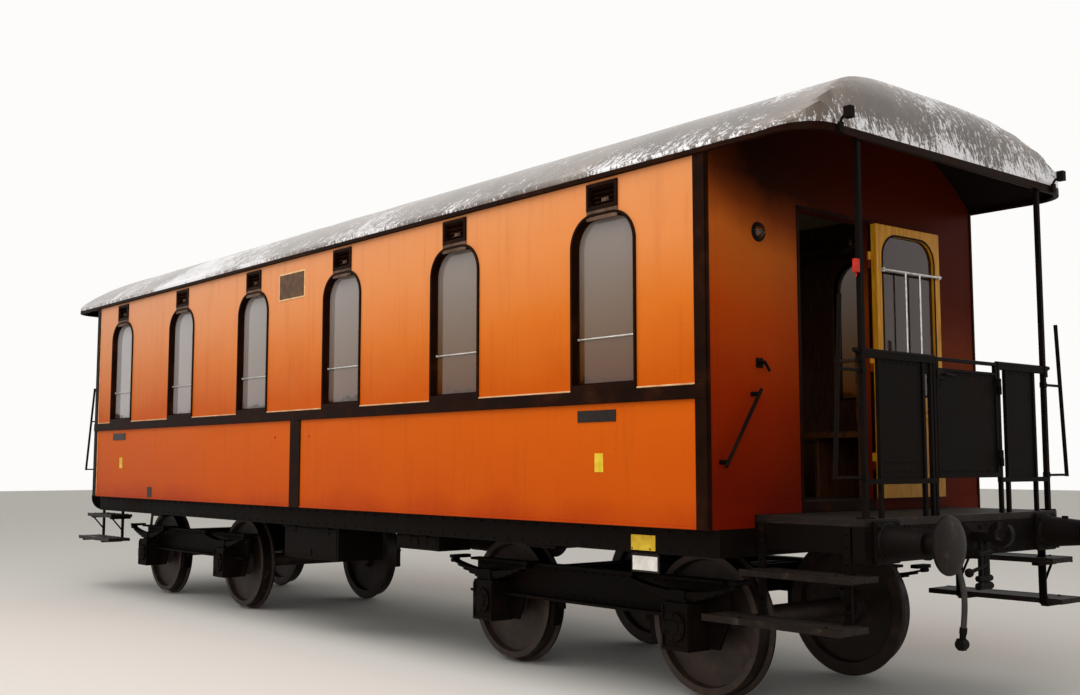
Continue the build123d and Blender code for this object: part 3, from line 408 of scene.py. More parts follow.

# Side walls
# Sheet steel on a wooden frame, brushed with orange enamel that turns peach towards the eaves, partly sun fade and
# partly painted reflection of the sky, and paler still towards the far end as painted sheen.
# Rain has left faint runs below the windows and a brown bloom above the sill.
enamel_orange, add, finish_shader = pattern("orange_coach_enamel", {"Specular IOR Level": 0.05})
parts = add("SeparateXYZ", {}).outputs
level = add("MapRange", span(1.1, 3.4), {"Value": parts["Z"]})
cloud = add("TexNoise", grains(1.1, 6, 0.6))
drift = add("Math", scaled(0.22, -0.11), {0: cloud})
height = add("Math", {"operation": "ADD"}, {0: level, 1: drift})
# Colour by height: deep orange at the foot to peach at the top, partly sun fade and partly painted sky reflection.
tone_and_painted_light = add("ValToRGB", {"stops": [
    (0.0, "#AE3A04"), (0.09, "#C65004"), (0.30, "#CF5A06"), (0.42, "#C65604"), (0.60, "#D67020"),
    (0.80, "#DF8848"), (1.0, "#E0925C")]}, {"Fac": height})
# Painted sheen: the upper part is mixed towards pale peach towards the far end of the coach.
along = add("MapRange", span(3.0, -5.0, 0, 0.45), {"Value": parts["X"]})
pale = add("MapRange", span(0.4, 1.0), {"Value": height})
share = add("Math", {"operation": "MULTIPLY"}, {0: along, 1: pale})
with_painted_sheen = add("Mix", tint("#ECB496"), {0: share, 6: tone_and_painted_light})
runs = add("Mapping", {"Scale": (7, 7, 0.5)})
streak = add("TexNoise", grains(2.2, 7, 0.62), {"Vector": runs})
streak_mask = add("MapRange", span(0.52, 0.78, 0, 0.2), {"Value": streak})
grimed = add("Mix", tint("#8A3A08"), {0: streak_mask, 6: with_painted_sheen.outputs[2]})
chips = add("TexVoronoi", {"Scale": 7.0, "Randomness": 1.0})
chip_mask = add("MapRange", span(0.03, 0.022, 0, 0.75), {"Value": chips})
chipped = add("Mix", tint("#4A2410"), {0: chip_mask, 6: grimed.outputs[2]})
dent = add("TexNoise", grains(2.6, 2))
brush = add("TexNoise", grains(240, 2))
wave = add("Bump", {"Strength": 0.5, "Distance": 0.006}, {"Height": dent})
skin = add("Bump", {"Strength": 0.12, "Distance": 0.0005}, {"Height": brush, "Normal": wave})
dull = add("MapRange", span(0, 1, 0.28, 0.5), {"Value": cloud})
finish_shader({"Base Color": chipped.outputs[2], "Roughness": dull, "Normal": skin})

# Varnished matchboard inside: brown softwood boards, upright, with dark joints.
bench_wood = finish("varnished_bench_wood", (4, 8, 0.65, 0.8),
                    [(0.3, "#2C170A"), (0.5, "#502C13"), (0.75, "#704620")],
                    {"Roughness": 0.38, "Coat Weight": 0.3}, relief=(0.2, 0.001), stretch=(14, 14, 1.5))

for hand in ("right", "left"):
    piece = softened("side_wall_" + hand, 0.003, [enamel_orange, bench_wood], "enamel_orange")
    repaint(piece, 1, lambda face: abs(face.center.y) < 1.37)

side_y = 1.45
window_middles = [(window - 2.5) * 1.622 - 0.05 for window in range(6)]
places = []
for side in (-1, 1):
    places += [facing((middle + offset, side * side_y, 1.185 + 0.088 * k), (0, side, 0))
               for middle in window_middles for offset in (-0.36, 0.46) for k in range(8)]
    for k in range(110):
        x = -4.79 + 9.58 * k / 109
        if abs(x) > 0.10:
            places += [facing((x, side * side_y, z), (0, side, 0)) for z in (1.150, 1.872)]
new_piece("panel_rivets", heads(0.0065, 0.0035, places), [enamel_orange], "enamel_orange", smooth=60)

# Window frames
# Pressed steel surrounds with a round head, dark brown enamel, nailed through the edge.
# The sash sits deep in the wall behind a liner.
trim_brown = finish("dark_brown_trim_enamel", (5, 7, 0.6), [(0.3, "#120602"), (0.55, "#1E0B03"), (0.8, "#361B0A")],
                    {"Specular IOR Level": 0.03}, relief=(0.15, 0.0006), fine=(160, 3), gloss=(0.3, 0.6))
brown = ([trim_brown], "trim_brown")
for hand in ("right", "left"):
    softened("window_frames_" + hand, 0.0025, *brown)
places = [facing((middle + edge, side * 1.464, 2.02 + 0.078 * k), (0, side, 0))
          for side in (-1, 1) for middle in window_middles for k in range(13) for edge in (-0.2965, 0.2965)]
new_piece("frame_nails", heads(0.0042, 0.0022, places, 6), *brown, smooth=60)

# Window glass and its safety bars
# Old drawn glass, smoked and dusty, its colour a painted reflection of the sky, so that the saloon shows only dimly
# behind it.
# A galvanised tube crosses each pane inside, and a thin rod on two flanges crosses it outside.
window_glass, add, finish_shader = pattern("dusty_glass_painted_reflection",
                                            {"Transmission Weight": 0.45, "Roughness": 0.04, "IOR": 1.6})
film = add("TexNoise", grains(2.0, 5))
bump = add("Bump", {"Strength": 0.06, "Distance": 0.002}, {"Height": film})
parts = add("SeparateXYZ", {}).outputs
level = add("MapRange", span(2.03, 3.1), {"Value": parts["Z"]})
# Painted reflection of the sky: brown at the foot of the pane rising to pale grey at its head.
tone = add("ValToRGB", {"stops": [
    (0.0, "#703A0C"), (0.22, "#7E5834"), (0.5, "#8E745E"), (1.0, "#A99C94")]}, {"Fac": level})
# Painted reflection: the panes are mixed paler towards the far end of the coach.
far = add("MapRange", span(2.0, -4.5, 0, 0.75), {"Value": parts["X"]})
with_painted_reflection = add("Mix", tint("#DCD8DA"), {0: far, 6: tone})
splash = add("TexNoise", grains(7.0, 7, 0.65))
foot = add("MapRange", span(2.18, 2.03, -0.45, 0.1), {"Value": parts["Z"]})
dirt = add("Math", {"operation": "ADD"}, {0: splash, 1: foot})
dirt_mask = add("MapRange", span(0.46, 0.56, 0, 0.85), {"Value": dirt})
dusty = add("Mix", tint("#3E2008"), {0: dirt_mask, 6: with_painted_reflection.outputs[2]})
finish_shader({"Base Color": dusty.outputs[2], "Normal": bump})
# The door panes are cleaner and let the dark wall behind them show.
door_glass, add, finish_shader = pattern("door_glass", {
    "Base Color": linear("#80442C"), "Transmission Weight": 0.97, "Specular IOR Level": 0.06})
film = add("TexNoise", grains(3.0, 6))
finish_shader({"Roughness": add("MapRange", span(0, 1, 0.02, 0.09), {"Value": film})})
for node, glass in (("window_glass", window_glass), ("end_door_1_glass", door_glass),
                    ("end_door_2_glass", door_glass)):
    frame["nodes"][node].data.materials.clear()
    frame["nodes"][node].data.materials.append(glass)

# Galvanised steel tube: pale grey, brushed by hands.
white_metal = finish("galvanised_tube", (30, 5), [(0.3, "#B9B6B0"), (0.7, "#E9E7E2")],
                     {"Metallic": 0.6, "Roughness": 0.35}, relief=(0.1, 0.0005))
softened("window_safety_bars", 0.002, [white_metal], "white_metal")
shape = bmesh.new()
for side in (-1, 1):
    rod_y = side * 1.4145
    for middle in window_middles:
        for reach, low, radius in ((0.283, -0.283, 0.0055), (-0.2781, -0.270, 0.009), (0.2781, 0.270, 0.009)):
            add_rod(shape, (middle + low, rod_y, 2.325), (middle + reach, rod_y, 2.325), radius, 12)
new_piece("window_guard_rods", shape, [white_metal], "white_metal")

# Vents over the windows
# Louvred boxes let into the wall over each window, dark brown like the frames, with slats inside.
# A dull hand latch shows behind the slats, and a weathered apron below throws the rain off.
softened("window_vents", 0.002, *brown)
apron_paint = finish("weathered_apron_paint", (12, 6), [(0.3, "#3E2A1D"), (0.7, "#6B5140")],
                     {"Roughness": 0.6, "Specular IOR Level": 0.2})
aprons, latches = bmesh.new(), bmesh.new()
for side in (-1, 1):
    for middle in window_middles:
        add_block(aprons, (middle - 0.145, side_y, 3.090), (middle + 0.145, 1.462, 3.160), side=side)
        add_block(latches, (middle - 0.020, 1.434, 3.205), (middle + 0.045, 1.442, 3.240), side=side)
        add_rod(latches, (middle + 0.030, side * 1.438, 3.222), (middle + 0.030, side * 1.452, 3.222), 0.008, 12)
new_piece("vent_aprons", aprons, [apron_paint], "trim_brown", edge=0.003)
new_piece("vent_latches", latches, [apron_paint], "brass_fittings", edge=0.002)

# Side trim
# Dark brown belt rail, corner strips and middle strip, screwed over the joints of the sheets.
# A thin cream line along the top of the belt and the ends of the sheets is a painted highlight, drawn as a putty
# bead.
for hand in ("right", "left"):
    softened("side_trim_" + hand, 0.004, *brown)
# Painted highlight: a cream bead stands for the light caught along these edges.
highlight_bead_paint = finish("cream_highlight_bead", (9, 5), [(0.3, "#D08C4A"), (0.7, "#F0CFA0")], {"Roughness": 0.5})
putty_stops = [-4.80] + [middle + edge for middle in window_middles for edge in (-0.307, 0.307)] + [4.80]
seals, feet = bmesh.new(), bmesh.new()
for side in (-1, 1):
    for low, high in zip(putty_stops[::2], putty_stops[1::2]):
        add_block(seals, (low, 1.449, 1.9795), (high, 1.458, 1.990), side=side)
    for end in (-1, 1):
        for low, high in ((1.990, 3.355), (1.140, 1.890)):
            add_block(seals, (4.799, 1.449, low), (4.804, 1.456, high), end, side)
    add_block(feet, (-4.80, 1.446, 1.131), (4.80, 1.457, 1.143), side=side)
new_piece("highlight_bead_line", seals, [highlight_bead_paint], edge=0.0015)
new_piece("panel_foot", feet, [enamel_orange], "enamel_orange", edge=0.003)

# Blank plates
# Enamelled steel: a dark number plate in a cream edge high up, and small plates and labels lower down.
# All of them are plain, with nothing written on them.
sign_paint = {}
for name, dark, light in (("yellow", "#D0A81C", "#EACB3A"), ("black", "#120A06", "#20140D"),
                          ("cream", "#D8A86C", "#F0CC90"), ("brown", "#3E2614", "#63421F"),
                          ("white", "#CFCBC2", "#EDEAE2"), ("red", "#A01808", "#C42A12")):
    sign_paint[name] = finish(name + "_sign_enamel", (18, 6), [(0.3, dark), (0.7, light)],
                              {"Roughness": 0.4, "Specular IOR Level": 0.2})

# low x, high x, low z, high z, colour, thickness: on both sides of the coach
plate_table = [
    (-0.357, 0.119, 2.990, 3.240, "cream", 0.004),
    (-0.343, 0.105, 3.004, 3.226, "brown", 0.006),
    (3.760, 4.120, 1.780, 1.855, "black", 0.006),
    (-4.310, -3.950, 1.780, 1.855, "black", 0.006),
    (3.920, 4.000, 1.460, 1.580, "yellow", 0.003),
    (-4.100, -4.020, 1.460, 1.580, "yellow", 0.003),
    (-3.280, -3.170, 1.150, 1.260, "black", 0.005),
]
for colour in ("yellow", "black", "cream", "brown"):
    shape = bmesh.new()
    for side in (-1, 1):
        for low, high, low_z, high_z, paint, thick in plate_table:
            if paint == colour:
                add_block(shape, (low, 1.449, low_z), (high, side_y + thick, high_z), side=side)
    new_piece(colour + "_plates", shape, [sign_paint[colour]], edge=0.0015)
marks, sole_labels, holders, labels = (bmesh.new() for _ in range(4))
for side in (-1, 1):
    for x in (-0.386, 0.237):
        add_rod(marks, (x, side * 1.449, 1.75), (x, side * 1.454, 1.75), 0.012, 12)
    add_block(sole_labels, (4.16, 1.359, 0.980), (4.37, 1.366, 1.075), side=side)
    add_block(holders, (4.158, 1.350, 0.846), (4.397, 1.360, 0.957), side=side)
    for x in (4.19, 4.36):
        add_block(holders, (x, 1.350, 0.93), (x + 0.02, 1.360, 0.975), side=side)
    add_block(labels, (4.170, 1.350, 0.858), (4.385, 1.363, 0.945), side=side)
new_piece("red_marks", marks, [sign_paint["red"]])
for name, shape, colour in (("yellow_sole_label", sole_labels, "yellow"), ("label_holder", holders, "black"),
                            ("white_label", labels, "white")):
    new_piece(name, shape, [sign_paint[colour]], edge=0.0015)

# End walls
# The same enamelled sheet round the doorway, darker under the deep roof and towards the far side as painted shade,
# the shade's edge slanting lower there, and darker towards the foot.
# Brown angle iron covers each corner and lines the doorway, and a narrow sheet closes the foot.
end_enamel, add, finish_shader = pattern("painted_shade_end_enamel", {"Specular IOR Level": 0.02})
parts = add("SeparateXYZ", {}).outputs
level = add("MapRange", span(1.3, 3.3), {"Value": parts["Z"]})
cloud = add("TexNoise", grains(1.6, 7, 0.62))
drift = add("Math", scaled(0.16, -0.08), {0: cloud})
# Painted shadow: the edge of the roof's shade slants lower towards the far side.
shadow_slant = add("Math", scaled(0.13, 0.13), {0: parts["Y"]})
height = add("Math", {"operation": "ADD"}, {0: level, 1: drift})
height = add("Math", {"operation": "ADD"}, {0: height, 1: shadow_slant})
# Colour by height: deep red at the foot, orange in the middle, and painted shade going nearly black under the roof.
tone_and_painted_light = add("ValToRGB", {"stops": [
    (0.0, "#6A1402"), (0.30, "#8E2602"), (0.55, "#AA3E05"), (0.78, "#B4581A"), (0.90, "#70300E"),
    (1.0, "#281006")]}, {"Fac": height})
# Painted shade: the wall is darkened towards the far side of the doorway.
across = add("MapRange", span(-0.9, 0.5, 0, 0.85), {"Value": parts["Y"]})
painted_shade = add("Mix", tint("#4E1403"), {0: across, 6: tone_and_painted_light})
dent = add("TexNoise", grains(3.2, 2))
wave = add("Bump", {"Strength": 0.5, "Distance": 0.006}, {"Height": dent})
dull = add("MapRange", span(0, 1, 0.3, 0.55), {"Value": cloud})
finish_shader({"Base Color": painted_shade.outputs[2], "Roughness": dull, "Normal": wave})

wall_x, skirt_x, skirt_face_x = 4.893, 4.8935, 4.8985
for number, end in both_ends:
    piece = softened(f"end_wall_{number}", 0.003, [end_enamel, bench_wood], "enamel_orange")
    repaint(piece, 1, lambda face: abs(face.center.x) < 4.81)
    corners, skirts, hooks = bmesh.new(), bmesh.new(), bmesh.new()
    for side in (-1, 1):
        add_block(corners, (wall_x, 1.430, 1.13), (4.903, 1.452, 3.40), end, side)
        add_block(skirts, (skirt_x, 1.052, 1.131), (skirt_face_x, 1.449, 1.286), end, side)
    for y in (-0.590, 0.164):
        add_block(corners, (wall_x, y - 0.012, 1.280), (4.901, y + 0.012, 3.142), end)
    add_block(corners, (wall_x, -0.602, 3.130), (4.901, 0.176, 3.154), end)
    add_block(corners, (wall_x, -0.602, 1.211), (4.903, 0.176, 1.279), end)
    add_block(skirts, (skirt_x, -1.052, 1.211), (skirt_face_x, -0.602, 1.286), end)
    add_block(skirts, (skirt_x, 0.176, 1.211), (skirt_face_x, 1.052, 1.286), end)
    add_block(hooks, (4.894, -1.016, 2.095), (4.904, -0.956, 2.155), end)
    add_rod(hooks, (end * 4.900, -0.986, 2.125), (end * 4.945, -0.986, 2.125), 0.012)
    add_rod(hooks, (end * 4.940, -0.986, 2.130), (end * 4.940, -0.940, 2.075), 0.009)
    new_piece(f"corner_angles_{number}", corners, *brown, edge=0.002)
    new_piece(f"end_skirt_{number}", skirts, [end_enamel], "enamel_orange", edge=0.001)
    new_piece(f"door_hook_{number}", hooks, *black, edge=0.002)
for hand in ("right", "left"):
    wall = bpy.data.objects[f"side_wall_{hand}_finished"]
    wall.data.materials.append(end_enamel)
    repaint(wall, 2, lambda face: abs(face.center.x) > 4.894)

# Saloon inside
# A matchboard partition, slatted benches and pole racks, all of varnished softwood.
# Each seat has five slats and each back four on either side.
for node in ("saloon_partition", "benches", "luggage_racks"):
    softened(node, 0.003, [bench_wood], "bench_wood")
backs = [(x, way) for x in (-3.244, -1.622, 1.622, 3.244) for way in (-1, 1)]
backs += [(-0.0353, -1), (0.0353, 1), (-4.7897, 1), (4.7897, -1)]
shape = bmesh.new()
for back_x, way in backs:
    for low_y, high_y in ((-1.355, -0.594), (0.168, 1.355)):
        for k in range(5):
            x = back_x + way * (0.030 + 0.088 * k)
            add_block(shape, (x, low_y, 1.720), (x + way * 0.072, high_y, 1.732))
        for k in range(4):
            z = 1.80 + 0.122 * k
            add_block(shape, (back_x + way * 0.015, low_y, z), (back_x + way * 0.026, high_y, z + 0.095))
new_piece("bench_slats", shape, [bench_wood], "bench_wood", edge=0.003)

# Roof
# Bowed boards under painted canvas, dark grey-brown, tarred in patches, wet from rain, and painted paler towards the
# far end as sheen.
# Water stands as streaks down the slopes, painted white as a reflection of the sky, and the canvas is rolled over the
# edge.
roof_felt, add, finish_shader = pattern("tarred_roof_canvas", {
    "Coat Weight": 0.6, "Coat Roughness": 0.12, "Coat IOR": 1.5})
parts = add("SeparateXYZ", {}).outputs
reach = add("Math", {"operation": "ABSOLUTE"}, {0: parts["X"]})
hip = add("MapRange", span(5.0, 5.3), {"Value": reach})
patch = add("TexNoise", grains(1.3, 9, 0.7))
tar = add("ValToRGB", {"stops": [
    (0.30, "#241910"), (0.46, "#3F2F22"), (0.58, "#5A4A3C"), (0.72, "#7C7068")]}, {"Fac": patch})
# Painted sheen: the mix below, not wear, turns the canvas pale grey towards the far end.
along = add("MapRange", span(4.6, -4.0, 0, 0.62), {"Value": parts["X"]})
worn = add("Mix", tint("#948B85"), {0: along, 6: tar})
# The streaks run down the side slopes, and over the hips they turn to run down the ends.
runs = []
for scale in ((5.0, 1.5, 1.5), (1.5, 5.0, 1.5)):
    slope = add("Mapping", {"Scale": scale})
    runs.append(add("TexNoise", grains(6.5, 9, 0.78, 0.7), {"Vector": slope}))
streaks = add("Mix", {"data_type": "FLOAT"}, {0: hip, 2: runs[0], 3: runs[1]})
# There is more water at the eaves and along the crown, in drops and in broad pools, all painted white as a reflection
# of the sky.
level = add("MapRange", span(3.4, 3.97), {"Value": parts["Z"]})
eave = add("ValToRGB", {"stops": [
    (0.0, "#FFFFFF"), (0.30, "#8C8C8C"), (0.55, "#5A5A5A"), (0.80, "#707070"), (1.0, "#C8C8C8")]}, {"Fac": level})
eaves = add("Math", scaled(0.11, -0.035), {0: eave})
speck = add("TexNoise", grains(34, 6, 0.8))
drops = add("Math", scaled(0.55, -0.28), {0: speck})
pool = add("TexNoise", grains(0.75, 4, 0.6))
pools = add("Math", scaled(0.85, -0.43), {0: pool})
crest = add("Math", {"operation": "SUBTRACT", 1: 3.60}, {0: parts["Z"]})
crest = add("Math", {"operation": "ABSOLUTE"}, {0: crest})
crest = add("Math", scaled(0.30, -0.05), {0: crest})
hood = add("MapRange", span(4.4, 4.9), {"Value": reach})
crest = add("Math", {"operation": "MULTIPLY"}, {0: crest, 1: hood})
wet_reflection = streaks
for water in (eaves, drops, pools, crest):
    wet_reflection = add("Math", {"operation": "ADD"}, {0: wet_reflection, 1: water})
# Painted reflection: where the canvas is wet its colour is mixed to near white, the sky's reflection.
wet_reflection_mask = add("MapRange", span(0.535, 0.6), {"Value": wet_reflection})
with_wet_reflection = add("Mix", tint("#DEDBDD"), {0: wet_reflection_mask, 6: worn.outputs[2]})
shine = add("MapRange", span(0, 1, 0.6, 0.22), {"Value": wet_reflection_mask})
bump = add("Bump", {"Strength": 0.6, "Distance": 0.006}, {"Height": patch})
finish_shader({"Base Color": with_wet_reflection.outputs[2], "Roughness": shine, "Normal": bump})

# Ceiling boards: smoke-brown paint over the platforms, cream gone yellow in the saloon.
ceiling_paint, add, finish_shader = pattern("smoked_ceiling_paint", {"Roughness": 0.7, "Specular IOR Level": 0.1})
parts = add("SeparateXYZ", {}).outputs
reach = add("Math", {"operation": "ABSOLUTE"}, {0: parts["X"]})
outside = add("Math", {"operation": "GREATER_THAN", 1: 4.85}, {0: reach})
tone = add("Mix", {"data_type": "RGBA", 6: linear("#B8A684"), 7: linear("#130905")}, {0: outside})
boards = add("TexWave", {"bands_direction": "Y", "Scale": 3.2, "wave_profile": "SAW"})
bump = add("Bump", {"Strength": 0.4, "Distance": 0.003}, {"Height": boards.outputs["Fac"]})
finish_shader({"Base Color": tone.outputs[2], "Normal": bump})

roof_half_length, roof_half_width, roof_corner = 5.67, 1.48, 0.26
straight_x, straight_y = roof_half_length - roof_corner, roof_half_width - roof_corner
arch_radius, arch_centre_z, crown_z = 2.2357, 1.7303, 3.966
end_round, hip_blend, sheet_foot_z = 0.58, 0.06, 3.412
shape = bmesh.new()
bmesh.ops.create_grid(shape, x_segments=190, y_segments=64, size=1)
for vert in shape.verts:
    x, y = vert.co.x * roof_half_length, vert.co.y * roof_half_width
    over_x, over_y = abs(x) - straight_x, abs(y) - straight_y
    if over_x > 0 and over_y > 0:
        pull = max(over_x, over_y) / hypot(over_x, over_y)
        x = copysign(straight_x + over_x * pull, x)
        y = copysign(straight_y + over_y * pull, y)
    arch = arch_centre_z + sqrt(arch_radius ** 2 - y ** 2)
    run = max(0.0, abs(x) - (roof_half_length - end_round))
    hood = crown_z - end_round + sqrt(max(0.0, end_round ** 2 - run ** 2)) + 0.008
    share = min(1.0, max(0.0, 0.5 + (hood - arch) / (2 * hip_blend)))
    z = hood + (arch - hood) * share - hip_blend * share * (1 - share)
    ripple = noise.noise(Vector((x * 2.3, y * 3.1, 0))) * 0.004
    vert.co = (x, y, max(z + ripple - 0.002, sheet_foot_z))
# The rim turns down in two steps, the upper one higher over the platforms.
for side_level, end_level in ((3.386, 3.404), (3.358, 3.358)):
    rim = [edge for edge in shape.edges if edge.is_boundary]
    for made in bmesh.ops.extrude_edge_only(shape, edges=rim)["geom"]:
        if isinstance(made, bmesh.types.BMVert):
            share = min(1.0, max(0.0, (abs(made.co.x) - 5.35) / 0.3))
            made.co.z = side_level + (end_level - side_level) * share
bmesh.ops.recalc_face_normals(shape, faces=shape.faces)
if sum(face.normal.z for face in shape.faces) < 0:
    bmesh.ops.reverse_faces(shape, faces=shape.faces)
for face in shape.faces:
    if face.calc_center_median().z < 3.383:
        face.material_index = 2
roof_canvas = new_piece("roof_canvas", shape, [roof_felt, ceiling_paint, trim_brown], "roof_felt", smooth=60)
wall = roof_canvas.modifiers.new("roof_boards", "SOLIDIFY")
wall.thickness = 0.03
wall.offset = -1
wall.material_offset = 1
wall.material_offset_rim = 1
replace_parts(roof_canvas, "roof")

roll_radius = 0.019
roll_path = []
for end, side, start in ((1, 1, 0), (-1, 1, 90), (-1, -1, 180), (1, -1, 270)):
    for k in range(9):
        angle, radius = radians(start + 11.25 * k), roof_corner - roll_radius
        roll_path.append((end * straight_x + radius * cos(angle),
                          side * straight_y + radius * sin(angle), 3.372))
bent_tube("roof_edge_roll", "POLY", roll_path, roll_radius, 3, trim_brown, {"use_cyclic_u": True})
softened("roof_vents", 0.006, [roof_felt], "roof_felt")

# End doors
# Framed leaves of ochre painted wood with a tall arched pane, brass latches and white guard bars.
# Door 1 is folded back against the end wall and door 2 is shut.
ochre_wood = finish("ochre_painted_wood", (5, 8, 0.6), [(0.3, "#AE6A06"), (0.5, "#CC8A12"), (0.75, "#DFA42E")],
                    {"Roughness": 0.4, "Specular IOR Level": 0.25}, relief=(0.2, 0.001), stretch=(12, 12, 1.2))
brass = finish("tarnished_brass", (40, 5), [(0.3, "#5A4316"), (0.7, "#A98A3C")],
               {"Metallic": 1.0, "Roughness": 0.35})


def arch_loop(shape, x, middle_y, half, bottom, top, radius):
    """The edges of an arched opening in the plane of x, from its lower left round its head and back."""
    loop = [(-half, bottom)]
    for middle, start in ((-half + radius, 180), (half - radius, 90)):
        for k in range(9):
            angle = radians(start - 11.25 * k)
            loop.append((middle + radius * cos(angle), top - radius + radius * sin(angle)))
    loop.append((half, bottom))
    verts = [shape.verts.new((x, middle_y + y, z)) for y, z in loop]
    return [shape.edges.new(pair) for pair in zip(verts, verts[1:] + verts[:1])]


leaf_y = -0.213
door_axis = Vector((4.907, 0.152, 0))
opened = Matrix.Translation(door_axis) @ Matrix.Rotation(radians(178), 4, "Z") @ Matrix.Translation(-door_axis)
# name, paint, slot, half width, foot, head, corner radius, width, height
bead_table = [("pane_bead", trim_brown, "trim_brown", 0.287, 1.980, 3.052, 0.150, 0.014, 0.004),
              ("panel_bead", ochre_wood, "ochre_wood", 0.257, 1.418, 1.870, 0.03, 0.018, 0.007)]
for number, swing in ((1, opened), (2, Matrix.Scale(-1, 4, (1, 0, 0)))):
    softened(f"end_door_{number}", 0.003, [ochre_wood], "ochre_wood")
    softened(f"end_door_{number}_bars", 0.002, [white_metal], "white_metal")
    softened(f"end_door_{number}_handles", 0.002, [brass], "brass_fittings")
    for name, paint, slot, half, low, high, corner, grow, proud in bead_table:
        shape = bmesh.new()
        for near, far in ((4.894, 4.895 + proud), (4.854, 4.853 - proud)):
            rim = arch_loop(shape, near, leaf_y, half, low, high, corner)
            rim += arch_loop(shape, near, leaf_y, half + grow, low - grow, high + grow, corner + grow)
            flat = bmesh.ops.bridge_loops(shape, edges=rim)["faces"]
            made = bmesh.ops.extrude_face_region(shape, geom=flat)["geom"]
            raised = [vert for vert in made if isinstance(vert, bmesh.types.BMVert)]
            bmesh.ops.translate(shape, vec=(far - near, 0, 0), verts=raised)
        bmesh.ops.transform(shape, matrix=swing, verts=shape.verts)
        bmesh.ops.recalc_face_normals(shape, faces=shape.faces)
        new_piece(f"door_{number}_{name}", shape, [paint], slot, f"door_{number}", edge=0.0015)

# Platforms, railings and gates
# Planked decks behind black iron posts, rails and sheets, with a sheeted gate in the gangway.
# Boots have worn the steel edge strips bright, and their light tone also stands in as a painted highlight along the
# tread edges.
deck_wood = finish("tarred_deck_wood", (5, 9, 0.72, 0.6), [(0.3, "#0C0705"), (0.55, "#1C120C"), (0.78, "#46352A")],
                   {"Roughness": 0.7, "Specular IOR Level": 0.2}, relief=(0.4, 0.0015), stretch=(1.5, 14, 14))
# Steel rubbed bright where feet and buffers touch it, brown in the hollows; on the step edges its lightest tone is
# also a painted highlight.
worn_steel_and_highlight = finish("rubbed_steel_and_edge_highlight", (9, 10, 0.75), [(0.35, "#0C0604"), (0.58, "#1E140E"), (0.78, "#5A4C3E")],
                    {"Metallic": 0.3, "Specular IOR Level": 0.15}, relief=(0.25, 0.0008), gloss=(0.6, 0.3))

